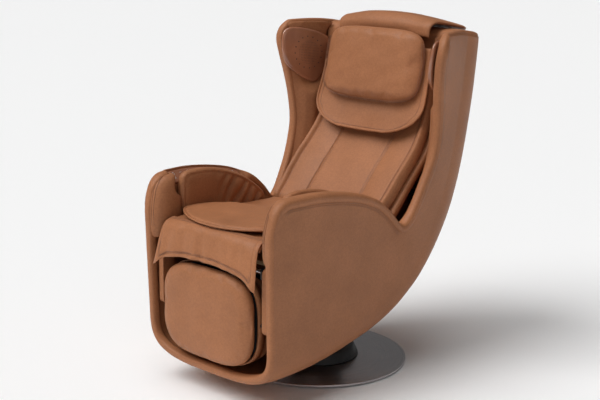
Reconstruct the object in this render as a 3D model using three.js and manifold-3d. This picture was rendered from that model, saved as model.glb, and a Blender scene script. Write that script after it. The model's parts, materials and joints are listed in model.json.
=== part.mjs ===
// A swivelling massage lounge chair: an upholstered scoop-shaped shell on a round steel disc.
// Millimetres, +Z up. The origin is on the floor under the middle of the disc.
// -Y is the front, +X is the sitter's left.
import * as THREE from "three";
import { mergeVertices } from "three/addons/utils/BufferGeometryUtils.js";
import Module from "manifold-3d";

const wasm = await Module();
wasm.setup();

// ---------------------------------------------------------------- driving dimensions

const GAP = 0.4;                 // between touching pieces
const DISC_R = 300;              // floor disc
const FOOT_H = 4;                // rubber mat under the disc
const DISC_RIM_TOP = 13;
const DISC_HUB_TOP = 17;
const TILT_Z = 85;               // height of the tilt shaft above the floor
const SHELL_WALL = 24;           // moulded shell with its outer leather
const LINING_WALL = 16;          // padded lining on the inside of the arms and wings
const BOLSTER = 30;              // how much thicker the lining is at the front of the arms
const CHEEK_X = 252;             // how close the padded wings come to the middle, beside the back pad
const SPEAKER_SEAT = SHELL_WALL + LINING_WALL + GAP;
const SPEAKER_DEEP = 17.5;       // thickness of a speaker, lying on the lining
const SPEAKER_ROOM = 80;         // the pocket over a speaker is cut this far inwards
const PANEL_ENDS = [0.14, 0.325];  // spine parameters of the control panel's ends, on the right arm
const PANEL_LIP = 6;             // rim left standing outside the control panel
const PANEL_RUN = 34;            // how far the control panel slopes inwards, and down
const CORNER_T = 0.5;            // section parameter where the rounded corner ends
const PANEL_T = 0.3;             // section parameter of the seam between pan and side panel
const WAIST_S = 0.47;            // spine parameter of the joint between the two pans

// Ribs of the shell from the front lip, under the seat and up the back:
// spine y, spine z, rim y, rim z, half width at the corner, half width at the rim, corner depth,
// and the superellipse power of the corner.
const RIBS = [
  [-497, 75, -512, 552, 276, 281, 152, 3.4],
  [-475, 72, -496, 622, 277, 284, 152, 3.4],
  [-440, 69, -462, 658, 279, 287, 152, 3.4],
  [-380, 68, -405, 662, 281, 290, 152, 3.3],
  [-300, 70, -320, 661, 282, 294, 152, 3.2],
  [-210, 77, -225, 650, 283, 297, 152, 3.0],
  [-115, 91, -130, 630, 285, 299, 150, 2.8],
  [-20, 114, -45, 596, 287, 301, 142, 2.7],
  [72, 147, 16, 549, 290, 303, 138, 2.6],
  [148, 188, 62, 502, 294, 306, 142, 2.6],
  [219, 235, 98, 522, 298, 310, 152, 2.6],
  [287, 296, 130, 572, 302, 314, 168, 2.6],
  [348, 370, 160, 630, 306, 318, 180, 2.6],
  [400, 456, 186, 692, 309, 325, 186, 2.6],
  [442, 553, 201, 757, 311, 329, 188, 2.6],
  [475, 655, 198, 830, 312, 335, 188, 2.6],
  [500, 762, 186, 905, 313, 343, 186, 2.6],
  [520, 868, 171, 980, 314, 355, 184, 2.6],
  [535, 965, 166, 1038, 313, 366, 182, 2.6],
  [543, 1020, 181, 1078, 312, 364, 180, 2.6],
  [547, 1055, 208, 1100, 311, 353, 180, 2.6],
];
const TOP_BOW = 18;              // upward bow of the shell's top edge

// Leg rest: swing arms on the seat frame, and a two-faced pad that flips between them.
const LEG_Y = -465;
const SWING_Z = 436;
const FLIP_Z = 270;
const LEG_ARM_X = [219, 238];
const PAD_HALF_W = 192;
const PAD_HALF_H = 147;
const PAD_POWER = 2.7;           // superellipse power of the pad's outline
const PAD_HALF_T = 55;

// Massage rails: straight, leaning back, behind the back pad.
const RAIL_LEAN = THREE.MathUtils.degToRad(18);
const RAIL_Y = 345;
const RAIL_Z = 660;
const ROD_X = 130;
const ROD_R = 8;
const CARRIAGE_U = 40;           // carriage centre above the rail's reference point at rest
const ROLLER_R = 20;

// Tilt actuator: hung inside the shell and pushing on a lever of the fixed yoke.
const ACT_TAIL = [-270, 170];
const LEVER_TIP = [30, 240];

const LEATHER = { color: 0xa37154, roughness: 0.55, metalness: 0 };
const LEATHER_DARK = { color: 0x7a4f34, roughness: 0.6, metalness: 0 };
const STEEL = { color: 0x9a9799, roughness: 0.25, metalness: 1 };
const BLACK_STEEL = { color: 0x1d1d1f, roughness: 0.5, metalness: 0.6 };
const BLACK_PLASTIC = { color: 0x161617, roughness: 0.45, metalness: 0 };
const GLOSS_BROWN = { color: 0x5c3826, roughness: 0.12, metalness: 0 };
const RUBBER = { color: 0x101010, roughness: 0.9, metalness: 0 };
const PLYWOOD = { color: 0xb08a5a, roughness: 0.7, metalness: 0 };

const group = new THREE.Group();

// ---------------------------------------------------------------- geometry helpers

function add(name, geometry, look) {
  const mesh = new THREE.Mesh(geometry, new THREE.MeshStandardMaterial(look));
  mesh.name = name;
  group.add(mesh);
  return mesh;
}

function fromTriangles(points, faces) {
  const geometry = new THREE.BufferGeometry();
  geometry.setAttribute("position", new THREE.Float32BufferAttribute(points.flat(), 3));
  geometry.setIndex(faces.flat());
  return geometry;
}

function signedVolume(points, faces) {
  let total = 0;
  for (const [i, j, k] of faces) {
    const a = new THREE.Vector3(...points[i]);
    const b = new THREE.Vector3(...points[j]);
    const c = new THREE.Vector3(...points[k]);
    total += a.dot(b.cross(c)) / 6;
  }
  return total;
}

// A closed solid between two grids of points with the same rows and columns.
function gridSolid(outer, inner) {
  const rows = outer.length;
  const cols = outer[0].length;
  const points = [...outer.flat(), ...inner.flat()];
  const o = (i, j) => i * cols + j;
  const n = (i, j) => rows * cols + i * cols + j;
  const faces = [];
  const quad = (a, b, c, d) => faces.push([a, b, c], [a, c, d]);
  for (let i = 0; i < rows - 1; i++) {
    for (let j = 0; j < cols - 1; j++) {
      quad(o(i, j), o(i, j + 1), o(i + 1, j + 1), o(i + 1, j));
      quad(n(i, j), n(i + 1, j), n(i + 1, j + 1), n(i, j + 1));
    }
    quad(o(i, 0), o(i + 1, 0), n(i + 1, 0), n(i, 0));
    quad(o(i + 1, cols - 1), o(i, cols - 1), n(i, cols - 1), n(i + 1, cols - 1));
  }
  for (let j = 0; j < cols - 1; j++) {
    quad(o(0, j + 1), o(0, j), n(0, j), n(0, j + 1));
    quad(o(rows - 1, j), o(rows - 1, j + 1), n(rows - 1, j + 1), n(rows - 1, j));
  }
  if (signedVolume(points, faces) < 0) {
    faces.forEach((face) => face.reverse());
  }
  return fromTriangles(points, faces);
}

function solid(geometry) {
  const bare = geometry.index ? geometry.clone() : geometry;
  bare.deleteAttribute("normal");
  bare.deleteAttribute("uv");
  const merged = mergeVertices(bare, 1e-3);
  const vertProperties = new Float32Array(merged.attributes.position.array);
  const triVerts = new Uint32Array(merged.index.array);
  return new wasm.Manifold(new wasm.Mesh({ numProp: 3, vertProperties, triVerts }));
}

function geometryOf(manifold) {
  const mesh = manifold.getMesh();
  const geometry = new THREE.BufferGeometry();
  geometry.setAttribute("position", new THREE.BufferAttribute(mesh.vertProperties, 3));
  geometry.setIndex(new THREE.BufferAttribute(mesh.triVerts, 1));
  return geometry;
}

function join(...geometries) {
  return geometryOf(geometries.map(solid).reduce((sum, next) => sum.add(next)));
}

function cut(geometry, ...tools) {
  return geometryOf(tools.map(solid).reduce((rest, tool) => rest.subtract(tool), solid(geometry)));
}

// A box given by its lowest and highest corners.
function block(x0, x1, y0, y1, z0, z1) {
  const box = new THREE.BoxGeometry(x1 - x0, y1 - y0, z1 - z0);
  return box.translate((x0 + x1) / 2, (y0 + y1) / 2, (z0 + z1) / 2);
}

// A round bar along X.
function barX(x0, x1, y, z, r, sides = 20) {
  const bar = new THREE.CylinderGeometry(r, r, x1 - x0, sides).rotateZ(Math.PI / 2);
  return bar.translate((x0 + x1) / 2, y, z);
}

// A turned piece about Z from a closed list of [radius, z].
function turned(profile, sides = 48) {
  const points = profile.map(([r, z]) => new THREE.Vector2(r, z));
  const closed = profile[0][0] === 0 ? points : [...points, points[0]];
  return new THREE.LatheGeometry(closed, sides).rotateX(Math.PI / 2);
}

// A plate with a [y, z] outline, between two values of x.
function plateX(shape, x0, x1, curveSegments = 6) {
  const plate = new THREE.ExtrudeGeometry(shape, { depth: x1 - x0, bevelEnabled: false, curveSegments });
  const axes = new THREE.Matrix4().makeBasis(
    new THREE.Vector3(0, 1, 0), new THREE.Vector3(0, 0, 1), new THREE.Vector3(1, 0, 0));
  return plate.applyMatrix4(axes).translate(x0, 0, 0);
}

// An outline with every corner rounded to the same radius.
function roundedOutline(points, radius) {
  const shape = new THREE.Shape();
  const corner = points.map(([x, y]) => new THREE.Vector2(x, y));
  const count = corner.length;
  corner.forEach((here, i) => {
    const before = corner[(i + count - 1) % count].clone().sub(here).setLength(radius).add(here);
    const after = corner[(i + 1) % count].clone().sub(here).setLength(radius).add(here);
    if (i === 0) {
      shape.moveTo(before.x, before.y);
    } else {
      shape.lineTo(before.x, before.y);
    }
    shape.quadraticCurveTo(here.x, here.y, after.x, after.y);
  });
  shape.closePath();
  return shape;
}

// A padded strip: a side-view path, its two edges across, and how far it stands before and behind the path.
function ribbon({ path, half, span = (s) => [-half(s), half(s)], front, back, rows = 12, cols = 10 }) {
  const curve = new THREE.CatmullRomCurve3(path.map(([y, z]) => new THREE.Vector3(0, y, z)));
  const faceGrid = [];
  const rearGrid = [];
  for (let i = 0; i <= rows; i++) {
    const s = i / rows;
    const at = curve.getPointAt(s);
    const along = curve.getTangentAt(s);
    const [x0, x1] = span(s);
    const place = (v, out) => [x0 + ((x1 - x0) * (v + 1)) / 2, at.y - along.z * out, at.z + along.y * out];
    const across = Array.from({ length: cols + 1 }, (_, j) => (2 * j) / cols - 1);
    faceGrid.push(across.map((v) => place(v, front(s, v))));
    rearGrid.push(across.map((v) => place(v, -back(s, v))));
  }
  return gridSolid(faceGrid, rearGrid);
}

// ---------------------------------------------------------------- shell surface

function ribAt(s) {
  const spans = RIBS.length - 1;
  const i = Math.min(Math.floor(s * spans), spans - 1);
  const f = s * spans - i;
  const pick = (k) => RIBS[Math.max(0, Math.min(spans, k))];
  return RIBS[0].map((_, c) => {
    const [p0, p1, p2, p3] = [pick(i - 1)[c], pick(i)[c], pick(i + 1)[c], pick(i + 2)[c]];
    const slope = (p2 - p0) / 2;
    const nextSlope = (p3 - p1) / 2;
    const bend = 3 * (p2 - p1) - 2 * slope - nextSlope;
    const twist = 2 * (p1 - p2) + slope + nextSlope;
    return p1 + slope * f + bend * f * f + twist * f * f * f;
  });
}

// A point of the shell: s along the spine, t from the middle (0) to the rim (1, or -1 on the right),
// inset into the wall from its outer face.
function shellPoint(s, t, inset) {
  const [spineY, spineZ, rimY, rimZ, half, rimHalf, corner, roundness] = ribAt(s);
  const side = Math.sign(t) || 1;
  const u = Math.abs(t);
  const length = Math.hypot(rimY - spineY, rimZ - spineZ);
  const dirY = (rimY - spineY) / length;
  const dirZ = (rimZ - spineZ) / length;
  const angle = (Math.min(u / CORNER_T, 1) * Math.PI) / 2;
  const wall = Math.max(0, (u - CORNER_T) / (1 - CORNER_T));
  const power = 2 / roundness;
  const depth = inset + (corner - inset) * (1 - Math.cos(angle) ** power) + (length - corner) * wall;
  const x = (half - inset) * Math.sin(angle) ** power + (rimHalf - half) * wall;
  const bow = TOP_BOW * Math.sin((Math.PI * depth) / length) * Math.max(0, s * 10 - 9);
  return [side * x, spineY + dirY * depth, spineZ + dirZ * depth + bow];
}

function shellSlab(s0, s1, t0, t1, insetOut, insetIn, rows, cols) {
  const grid = (inset) => Array.from({ length: rows + 1 }, (_, i) =>
    Array.from({ length: cols + 1 }, (_, j) =>
      shellPoint(s0 + ((s1 - s0) * i) / rows, t0 + ((t1 - t0) * j) / cols, inset)));
  return gridSolid(grid(insetOut), grid(insetIn));
}

// The lining covers the arms above the seat, the whole depth of the wings, and the top of the back.
function liningEdges(s) {
  const wing = THREE.MathUtils.smoothstep(s, 0.36, 0.5);
  const front = 1 - THREE.MathUtils.smoothstep(s, 0.05, 0.09);
  return [0.79 + 0.075 * front - 0.23 * wing, 0.968 + 0.02 * wing];
}

// The lining's outer face lies on the shell. Its inner face slopes in towards the back pad along
// the wings and swells into a bolster at the front of the arms.
function liningGrid(sign, isInner) {
  const rows = 40;
  const cols = 4;
  return Array.from({ length: rows + 1 }, (_, i) => {
    const s = 0.012 + (0.973 * i) / rows;
    const [low, high] = liningEdges(s);
    const wing = THREE.MathUtils.smoothstep(s, 0.36, 0.5);
    const bolster = BOLSTER * (1 - THREE.MathUtils.smoothstep(s, 0.08, 0.104));
    return Array.from({ length: cols + 1 }, (_, j) => {
      const f = j / cols;
      const t = sign * (low + (high - low) * f);
      if (!isInner) return shellPoint(s, t, SHELL_WALL + GAP);
      const inset = SHELL_WALL + GAP + LINING_WALL + bolster;
      const reach = Math.max(0, Math.abs(shellPoint(s, t, inset)[0]) - CHEEK_X);
      return shellPoint(s, t, inset + wing * reach * (1 - THREE.MathUtils.smoothstep(f, 0.35, 1)));
    });
  });
}

const T_GAP = 0.0015;
const S_GAP = 0.0004;

// A slab lying on the 45 degree slope inside the right arm's rim, between two heights above it.
function rimSlope(low, high, lip, run, margin) {
  const rows = 12;
  const length = PANEL_ENDS[1] - PANEL_ENDS[0] + 2 * margin;
  const grid = (lift) => Array.from({ length: rows + 1 }, (_, i) => {
    const [x, y, z] = shellPoint(PANEL_ENDS[0] - margin + (length * i) / rows, -1, 0);
    const rise = lift * Math.SQRT1_2;
    return [lip, lip + run].map((inwards) => [x + inwards + rise, y, z - inwards + rise]);
  });
  return gridSolid(grid(low), grid(high));
}

function shellPanels() {
  const window = block(-108, 108, -78, 78, 60, 200);
  const front = shellSlab(0, WAIST_S - S_GAP, -PANEL_T, PANEL_T, 0, SHELL_WALL, 22, 10);
  add("shell_bottom_pan", cut(front, window), LEATHER_DARK);
  const rear = shellSlab(WAIST_S + S_GAP, 1, -PANEL_T, PANEL_T, 0, SHELL_WALL, 24, 10);
  add("shell_back_pan", rear, LEATHER_DARK);
  // Everything above the control panel's slope, out to beyond the lining.
  const recess = rimSlope(-GAP, 60, PANEL_LIP - GAP, PANEL_RUN + 30, 0.001);
  for (const [side, sign] of [["left", 1], ["right", -1]]) {
    const t0 = sign * (PANEL_T + T_GAP);
    const panel = shellSlab(0, 1, t0, sign, 0, SHELL_WALL, 44, 8);
    add(`shell_side_${side}`, sign > 0 ? panel : cut(panel, recess), LEATHER_DARK);
    const pocket = speakerPlate(sign, SPEAKER_SEAT - GAP, SPEAKER_SEAT + SPEAKER_ROOM, GAP);
    const lining = cut(gridSolid(liningGrid(sign, false), liningGrid(sign, true)), pocket);
    add(`side_lining_${side}`, sign > 0 ? lining : cut(lining, recess), LEATHER);
  }
}

// ---------------------------------------------------------------- base and swivel

function base() {
  const foot = [[0, 0], [284, 0], [284, FOOT_H], [0, FOOT_H]];
  add("foot_mat", turned(foot), RUBBER);
  const low = FOOT_H + GAP;
  const disc = [
    [22, low], [DISC_R - 4, low], [DISC_R, low + 3], [DISC_R, DISC_RIM_TOP - 3],
    [DISC_R - 3, DISC_RIM_TOP], [DISC_R - 24, DISC_RIM_TOP + 0.5],
    [140, DISC_HUB_TOP - 1.5], [22, DISC_HUB_TOP],
  ];
  add("base_disc", turned(disc, 72), STEEL);
  const seat = DISC_HUB_TOP + GAP;
  const post = [[0, low], [20, low], [20, seat], [78, seat], [78, 25], [24, 25], [24, 54], [0, 54]];
  add("column_post", turned(post), BLACK_STEEL);
  add("thrust_bearing", turned([[26, 25.4], [44, 25.4], [44, 31], [26, 31]], 36), STEEL);
}

function swivel() {
  add("swivel_hub", turned([[24.6, 31.4], [62, 31.4], [62, 54.6], [24.6, 54.6]], 36), BLACK_STEEL);
  const cover = [[136, 18], [139, 18], [124, 53], [66, 53], [66, 50], [122, 50]];
  add("column_cover", turned(cover, 36), BLACK_PLASTIC);
  const ear = roundedOutline([[-34, 60], [34, 60], [20, 104], [-20, 104]], 12);
  const ears = [plateX(ear, 66, 76), plateX(ear, -76, -66)];
  const leverOutline = roundedOutline([[-4, 60], [40, 60], [44, 252], [16, 252]], 9);
  const lever = plateX(leverOutline, 14, 26);
  const pin = barX(-20, 20, LEVER_TIP[0], LEVER_TIP[1], 6, 16);
  const plate = block(-90, 90, -60, 60, 55, 63);
  const yoke = join(plate, ...ears, lever, pin);
  add("tilt_yoke", cut(yoke, barX(-90, 90, 0, TILT_Z, 8.3)), BLACK_STEEL);
  add("tilt_shaft", barX(-98, 98, 0, TILT_Z, 8), STEEL);
}

// ---------------------------------------------------------------- frame inside the shell

const RAIL_BEAM_Z = [188, 212];
const BOARD_Z = 430;

function seatFrame() {
  const pieces = [];
  for (const sign of [-1, 1]) {
    const [x0, x1] = sign < 0 ? [-110, -84] : [84, 110];
    pieces.push(block(x0, x1, -300, 74, ...RAIL_BEAM_Z));
    const bracket = roundedOutline([[-22, 68], [22, 68], [34, 200], [-34, 200]], 10);
    pieces.push(plateX(bracket, ...(sign < 0 ? [-94, -84] : [84, 94])));
    for (const y of [-296, 30]) {
      pieces.push(block(x0, x1, y, y + 26, RAIL_BEAM_Z[1] - 1, BOARD_Z - GAP));
    }
    const ledge = sign < 0 ? [-205, -84] : [84, 205];
    pieces.push(block(...ledge, -296, -270, BOARD_Z - 26, BOARD_Z - GAP));
  }
  pieces.push(block(-205, 205, 30, 56, BOARD_Z - 26, BOARD_Z - GAP));
  const frame = join(...pieces);
  add("seat_frame", cut(frame, barX(-120, 120, 0, TILT_Z, 8.4)), BLACK_STEEL);
  add("seat_board", block(-205, 205, -400, 56, BOARD_Z, BOARD_Z + 12), PLYWOOD);
}

function legBrackets() {
  for (const [side, sign] of [["left", 1], ["right", -1]]) {
    const outline = roundedOutline([[-482, 416], [-270, 395], [-270, 428], [-448, 451], [-482, 451]], 8);
    const [x0, x1] = sign > 0 ? [206.5, 212.5] : [-212.5, -206.5];
    const bracket = cut(plateX(outline, x0, x1), barX(x0 - 1, x1 + 1, LEG_Y, SWING_Z, 7.4, 16));
    add(`leg_bracket_${side}`, bracket, BLACK_STEEL);
  }
}

function tiltActuator() {
  const [y0, z0] = ACT_TAIL;
  const [y1, z1] = LEVER_TIP;
  const length = Math.hypot(y1 - y0, z1 - z0);
  const slope = Math.atan2(z1 - z0, y1 - y0);
  // Built along +Y from the tail pin, then turned up to the lever's tip.
  const place = (geometry) => geometry.rotateX(slope).translate(0, y0, z0);
  const alongY = (y, length_, r, sides) =>
    new THREE.CylinderGeometry(r, r, length_, sides).translate(0, y, 0);
  const clevis = block(-22, 22, -22, 40, -22, 22);
  const gearcase = block(18, 50, -10, 78, -24, 24);
  const tube = join(alongY(105, 170, 19, 24), clevis, gearcase);
  const bored = cut(tube, alongY(115, 170, 9, 16), barX(-40, 60, -8, 0, 6.4, 14));
  add("actuator_tube", place(bored), BLACK_PLASTIC);
  const eye = cut(join(alongY(length - 97.5, 185, 8, 16), barX(-8, 8, length, 0, 17, 18)),
    barX(-12, 12, length, 0, 10.5, 18));
  add("actuator_rod", place(eye), STEEL);
  const bracket = join(
    block(-34, -23, y0 - 20, y0 + 6, z0 - 14, 187.6),
    block(-83.6, -23, y0 - 24, y0 - 20 + 8, 172, 187.6),
    block(-110, -72, y0 - 24, y0 + 6, 180, 187.6));
  add("actuator_bracket", bracket, BLACK_STEEL);
}

function electronics() {
  const top = RAIL_BEAM_Z[1] + GAP;
  add("control_box", block(62, 182, -225, -85, top, top + 62), BLACK_PLASTIC);
  const pump = join(block(-182, -66, -225, -105, top, top + 56), barX(-176, -72, -165, top + 62, 24, 20));
  add("air_pump", pump, BLACK_PLASTIC);
}

// ---------------------------------------------------------------- massage mechanism

// From the rail's own frame (x across, u up the rail, v forward) to the chair's.
const RAIL_FRAME = new THREE.Matrix4().makeBasis(
  new THREE.Vector3(1, 0, 0),
  new THREE.Vector3(0, Math.sin(RAIL_LEAN), Math.cos(RAIL_LEAN)),
  new THREE.Vector3(0, -Math.cos(RAIL_LEAN), Math.sin(RAIL_LEAN)),
).setPosition(0, RAIL_Y, RAIL_Z);

function onRail(geometry) {
  return geometry.applyMatrix4(RAIL_FRAME);
}

function alongRail(x, u0, u1, r, sides = 20) {
  return new THREE.CylinderGeometry(r, r, u1 - u0, sides).translate(x, (u0 + u1) / 2, 0);
}

const RAIL_LOW = -110;
const RAIL_HIGH = 372;

function massageRails() {
  for (const [side, sign] of [["left", 1], ["right", -1]]) {
    add(`guide_rod_${side}`, onRail(alongRail(sign * ROD_X, RAIL_LOW, RAIL_HIGH, ROD_R)), STEEL);
  }
  const low = cut(block(-252, 252, RAIL_LOW - 22, RAIL_LOW - GAP, -16, 16), alongRail(0, -140, -100, 7.5));
  add("rail_foot", onRail(low), BLACK_STEEL);
  const high = block(-214, 214, RAIL_HIGH + GAP, RAIL_HIGH + 20, -16, 16);
  add("rail_head", onRail(high), BLACK_STEEL);
  add("lead_screw", onRail(alongRail(0, RAIL_LOW - 18, RAIL_HIGH - 2, 6.5, 16)), STEEL);
  const motor = join(alongRail(0, RAIL_LOW - 92, RAIL_LOW - 22 - GAP, 26, 24),
    block(-20, 20, RAIL_LOW - 104, RAIL_LOW - 90, -20, 20));
  add("screw_motor", onRail(motor), BLACK_PLASTIC);
}

function carriage() {
  const u = CARRIAGE_U;
  const body = block(-148, 148, u - 29, u + 29, -36, 10);
  const bores = [alongRail(0, u - 40, u + 40, 7.3), alongRail(ROD_X, u - 40, u + 40, ROD_R + 0.4),
    alongRail(-ROD_X, u - 40, u + 40, ROD_R + 0.4)];
  const lugs = [-98, -4, 90].map((x) => block(x, x + 8, u - 12, u + 12, 6, 36));
  const shaftHole = new THREE.CylinderGeometry(6.3, 6.3, 260, 16).rotateZ(Math.PI / 2).translate(0, u, 24);
  add("carriage_housing", onRail(cut(join(body, ...lugs), ...bores, shaftHole)), BLACK_PLASTIC);
  const shaft = new THREE.CylinderGeometry(6, 6, 200, 16).rotateZ(Math.PI / 2).translate(0, u, 24);
  add("arm_shaft", onRail(shaft), STEEL);
  for (const [side, sign] of [["left", 1], ["right", -1]]) {
    massageArm(side, sign, u);
  }
}

function massageArm(side, sign, u) {
  const x0 = sign > 0 ? 46 : -54;
  const turnX = (geometry) => geometry.rotateZ(Math.PI / 2);
  const pinX = (x, y, z, r, length) => turnX(new THREE.CylinderGeometry(r, r, length, 18)).translate(x, y, z);
  const mid = x0 + 4;
  const bar = join(block(x0, x0 + 8, u - 55, u + 55, 17, 31), pinX(mid, u, 24, 13, 8),
    pinX(mid, u + 55, 26, 9, 8), pinX(mid, u - 55, 26, 9, 8),
    pinX(mid + 11, u + 55, 26, 5, 30), pinX(mid + 11, u - 55, 26, 5, 30));
  add(`massage_arm_${side}`, onRail(cut(bar, pinX(mid, u, 24, 6.3, 12))), BLACK_STEEL);
  for (const [place, step] of [["upper", 55], ["lower", -55]]) {
    const half = [[5.3, 0], [ROLLER_R - 3, 0], [ROLLER_R, 5], [ROLLER_R, 15], [ROLLER_R - 3, 20], [5.3, 20]];
    const ring = turned(half, 16);
    const roller = ring.rotateY(Math.PI / 2).translate(mid + 4.5, u + step, 26);
    add(`roller_${place}_${side}`, onRail(roller), BLACK_PLASTIC);
  }
}

// ---------------------------------------------------------------- upholstery

const SKIRT_LEAN = THREE.MathUtils.degToRad(9);

// Plump across the width: full in the middle, thinner towards both edges.
const crown = (v) => 1 - v ** 4;

function seat() {
  const outline = roundedOutline([
    [-492, 497], [-492, 531], [-300, 538], [-120, 526], [2, 528], [8, 444], [-396, 444], [-402, 497],
  ], 7);
  add("seat_pad", plateX(outline, -206, 206, 3), LEATHER);
  const lens = new THREE.Shape();
  lens.moveTo(-198, -424);
  lens.quadraticCurveTo(0, -580, 198, -424);
  lens.lineTo(198, -338);
  lens.bezierCurveTo(180, -232, 90, -196, 0, -196);
  lens.bezierCurveTo(-90, -196, -180, -232, -198, -338);
  lens.closePath();
  const bevel = {
    depth: 5, bevelEnabled: true, bevelThickness: 5, bevelSize: 6, bevelSegments: 1, curveSegments: 10,
  };
  add("seat_overlay", new THREE.ExtrudeGeometry(lens, bevel).translate(0, 0, 545), LEATHER);
  const hem = new THREE.Shape();
  hem.moveTo(-208, 530);
  hem.lineTo(-208, 394);
  hem.quadraticCurveTo(-192, 402, -180, 428);
  hem.quadraticCurveTo(-120, 438, 0, 442);
  hem.quadraticCurveTo(120, 438, 180, 428);
  hem.quadraticCurveTo(192, 402, 208, 394);
  hem.lineTo(208, 530);
  hem.closePath();
  const skirt = new THREE.ExtrudeGeometry(hem, { depth: 7, bevelEnabled: false, curveSegments: 5 });
  skirt.rotateX(Math.PI / 2).translate(0, 0, -530).rotateX(-SKIRT_LEAN).translate(0, -495, 530);
  add("seat_skirt", skirt, LEATHER);
}

const BACK_PATH = [[16, 512], [55, 552], [139, 642], [230, 735], [298, 850], [334, 960], [356, 1076]];

function back() {
  const pad = ribbon({
    path: BACK_PATH,
    half: (s) => 232 + 16 * Math.sin(Math.PI * Math.min(1, s * 1.3)) - 20 * s,
    front: (s, v) => 14 * v * v - 8,
    back: (s, v) => 34 + (14 - 12 * s) * crown(v),
    rows: 14,
  });
  add("back_pad", pad, LEATHER);
  for (const [side, x0, x1] of [["left", 205, 249], ["right", -249, -205]]) {
    const shroud = ribbon({
      path: BACK_PATH,
      span: () => [x0, x1],
      front: () => -52,
      back: () => 57,
      cols: 1,
    });
    add(`back_shroud_${side}`, shroud, LEATHER);
  }
  const flap = ribbon({
    path: [[222, 752], [262, 835], [292, 930], [312, 1040]],
    half: (s) => 150 + 75 * Math.sin(Math.min(1, s * 2.2) * Math.PI / 2),
    front: (s, v) => 8 + 10 * v * v,
    back: (s, v) => -10 * v * v,
    rows: 8,
  });
  add("head_flap", flap, LEATHER);
  const pillow = ribbon({
    path: [[238, 852], [262, 905], [282, 985], [300, 1090]],
    half: (s) => 184 + 12 * Math.sin(Math.PI * s),
    front: (s, v) => 30 + 26 * crown(v) * Math.sin(Math.PI * (0.12 + 0.76 * s)),
    back: () => 1,
    rows: 9,
  });
  add("head_pillow", pillow, LEATHER);
  const cover = ribbon({
    path: [[322, 1098], [322, 1108], [352, 1116], [430, 1108], [500, 1096], [556, 1072]],
    half: (s) => (190 + 30 * s) * Math.sqrt(1 - 0.9 * Math.max(0, (s - 0.7) / 0.3) ** 2),
    front: (s, v) => 24 * (1 - v * v) * Math.sin(Math.PI * (0.3 + 0.55 * s)),
    back: () => 9,
    rows: 10,
  });
  add("top_cover", cover, LEATHER);
}

function arms() {
  for (const [side, sign] of [["left", 1], ["right", -1]]) {
    const outline = roundedOutline([
      [-406, 552], [-408, 646], [-345, 663], [-262, 657], [-120, 610], [-30, 548], [-52, 508], [-210, 545],
    ], 12);
    const [x0, x1] = sign > 0 ? [206, 241] : [-241, -206];
    add(`arm_pad_${side}`, plateX(outline, x0, x1, 3), LEATHER);
    add(`speaker_${side}`, speakerPlate(sign, SPEAKER_SEAT, SPEAKER_SEAT + SPEAKER_DEEP, 0), GLOSS_BROWN);
  }
  add("control_panel", rimSlope(0, 5, PANEL_LIP, PANEL_RUN, 0), GLOSS_BROWN);
}

// A rounded triangle lying on the lining beside the head, between two insets from the shell's face.
function speakerPlate(sign, low, high, clearance) {
  const corners = [[165, 958], [168, 1064], [240, 1070], [340, 1040], [346, 1004], [290, 888]];
  const middle = [258, 1005];
  const grown = corners.map((corner) => {
    const reach = Math.hypot(corner[0] - middle[0], corner[1] - middle[1]);
    return corner.map((value, k) => middle[k] + (value - middle[k]) * (1 + (2 * clearance) / reach));
  });
  const prism = plateX(roundedOutline(grown, 16), sign > 0 ? 150 : -400, sign > 0 ? 400 : -150, 3);
  const slab = shellSlab(0.66, 0.998, sign * 0.42, sign * 0.995, low, high, 24, 10);
  return geometryOf(solid(prism).intersect(solid(slab)));
}

// ---------------------------------------------------------------- leg rest

function legRest() {
  for (const [side, sign] of [["left", 1], ["right", -1]]) {
    const outline = roundedOutline([[-488, 248], [-442, 248], [-442, 453], [-488, 453]], 20);
    const [x0, x1] = sign > 0 ? LEG_ARM_X : LEG_ARM_X.map((x) => -x).reverse();
    const holes = [[SWING_Z, 7.4], [FLIP_Z, 8.4]].map(([z, r]) => barX(x0 - 1, x1 + 1, LEG_Y, z, r, 16));
    add(`leg_arm_${side}`, cut(plateX(outline, x0, x1), ...holes), LEATHER);
  }
  add("swing_shaft", barX(-240, 240, LEG_Y, SWING_Z, 7, 16), STEEL);
  const padOutline = flipPadOutline(PAD_HALF_W, PAD_HALF_H);
  const slab = (y0, y1) => {
    const plate = new THREE.ExtrudeGeometry(padOutline, { depth: y1 - y0, bevelEnabled: false });
    return plate.rotateX(Math.PI / 2).translate(0, y1, FLIP_Z);
  };
  const front = LEG_Y - PAD_HALF_T;
  const rear = LEG_Y + PAD_HALF_T;
  add("flip_pad_front", slab(front, LEG_Y - 12 - GAP), LEATHER);
  const tray = join(slab(LEG_Y - 12, LEG_Y + 12), barX(-236, 236, LEG_Y, FLIP_Z, 8, 16));
  add("flip_tray", tray, BLACK_STEEL);
  const channels = [-92, 92].map((x) =>
    new THREE.CylinderGeometry(62, 62, 400, 24).rotateX(Math.PI / 2).translate(x, rear + 30, FLIP_Z));
  add("calf_massager", cut(slab(LEG_Y + 12 + GAP, rear), ...channels), LEATHER_DARK);
}

// A superellipse, so that the pad's sides are nearly straight and its corners round.
function flipPadOutline(w, h) {
  const sides = 56;
  const shape = new THREE.Shape();
  for (let i = 0; i < sides; i++) {
    const angle = (2 * Math.PI * i) / sides;
    const [c, q] = [Math.cos(angle), Math.sin(angle)];
    const x = w * Math.sign(c) * Math.abs(c) ** (2 / PAD_POWER);
    const z = h * Math.sign(q) * Math.abs(q) ** (2 / PAD_POWER);
    if (i === 0) {
      shape.moveTo(x, z);
    } else {
      shape.lineTo(x, z);
    }
  }
  shape.closePath();
  return shape;
}

// ---------------------------------------------------------------- mains inlet, low on the back

const INLET_S = 0.535;

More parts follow.
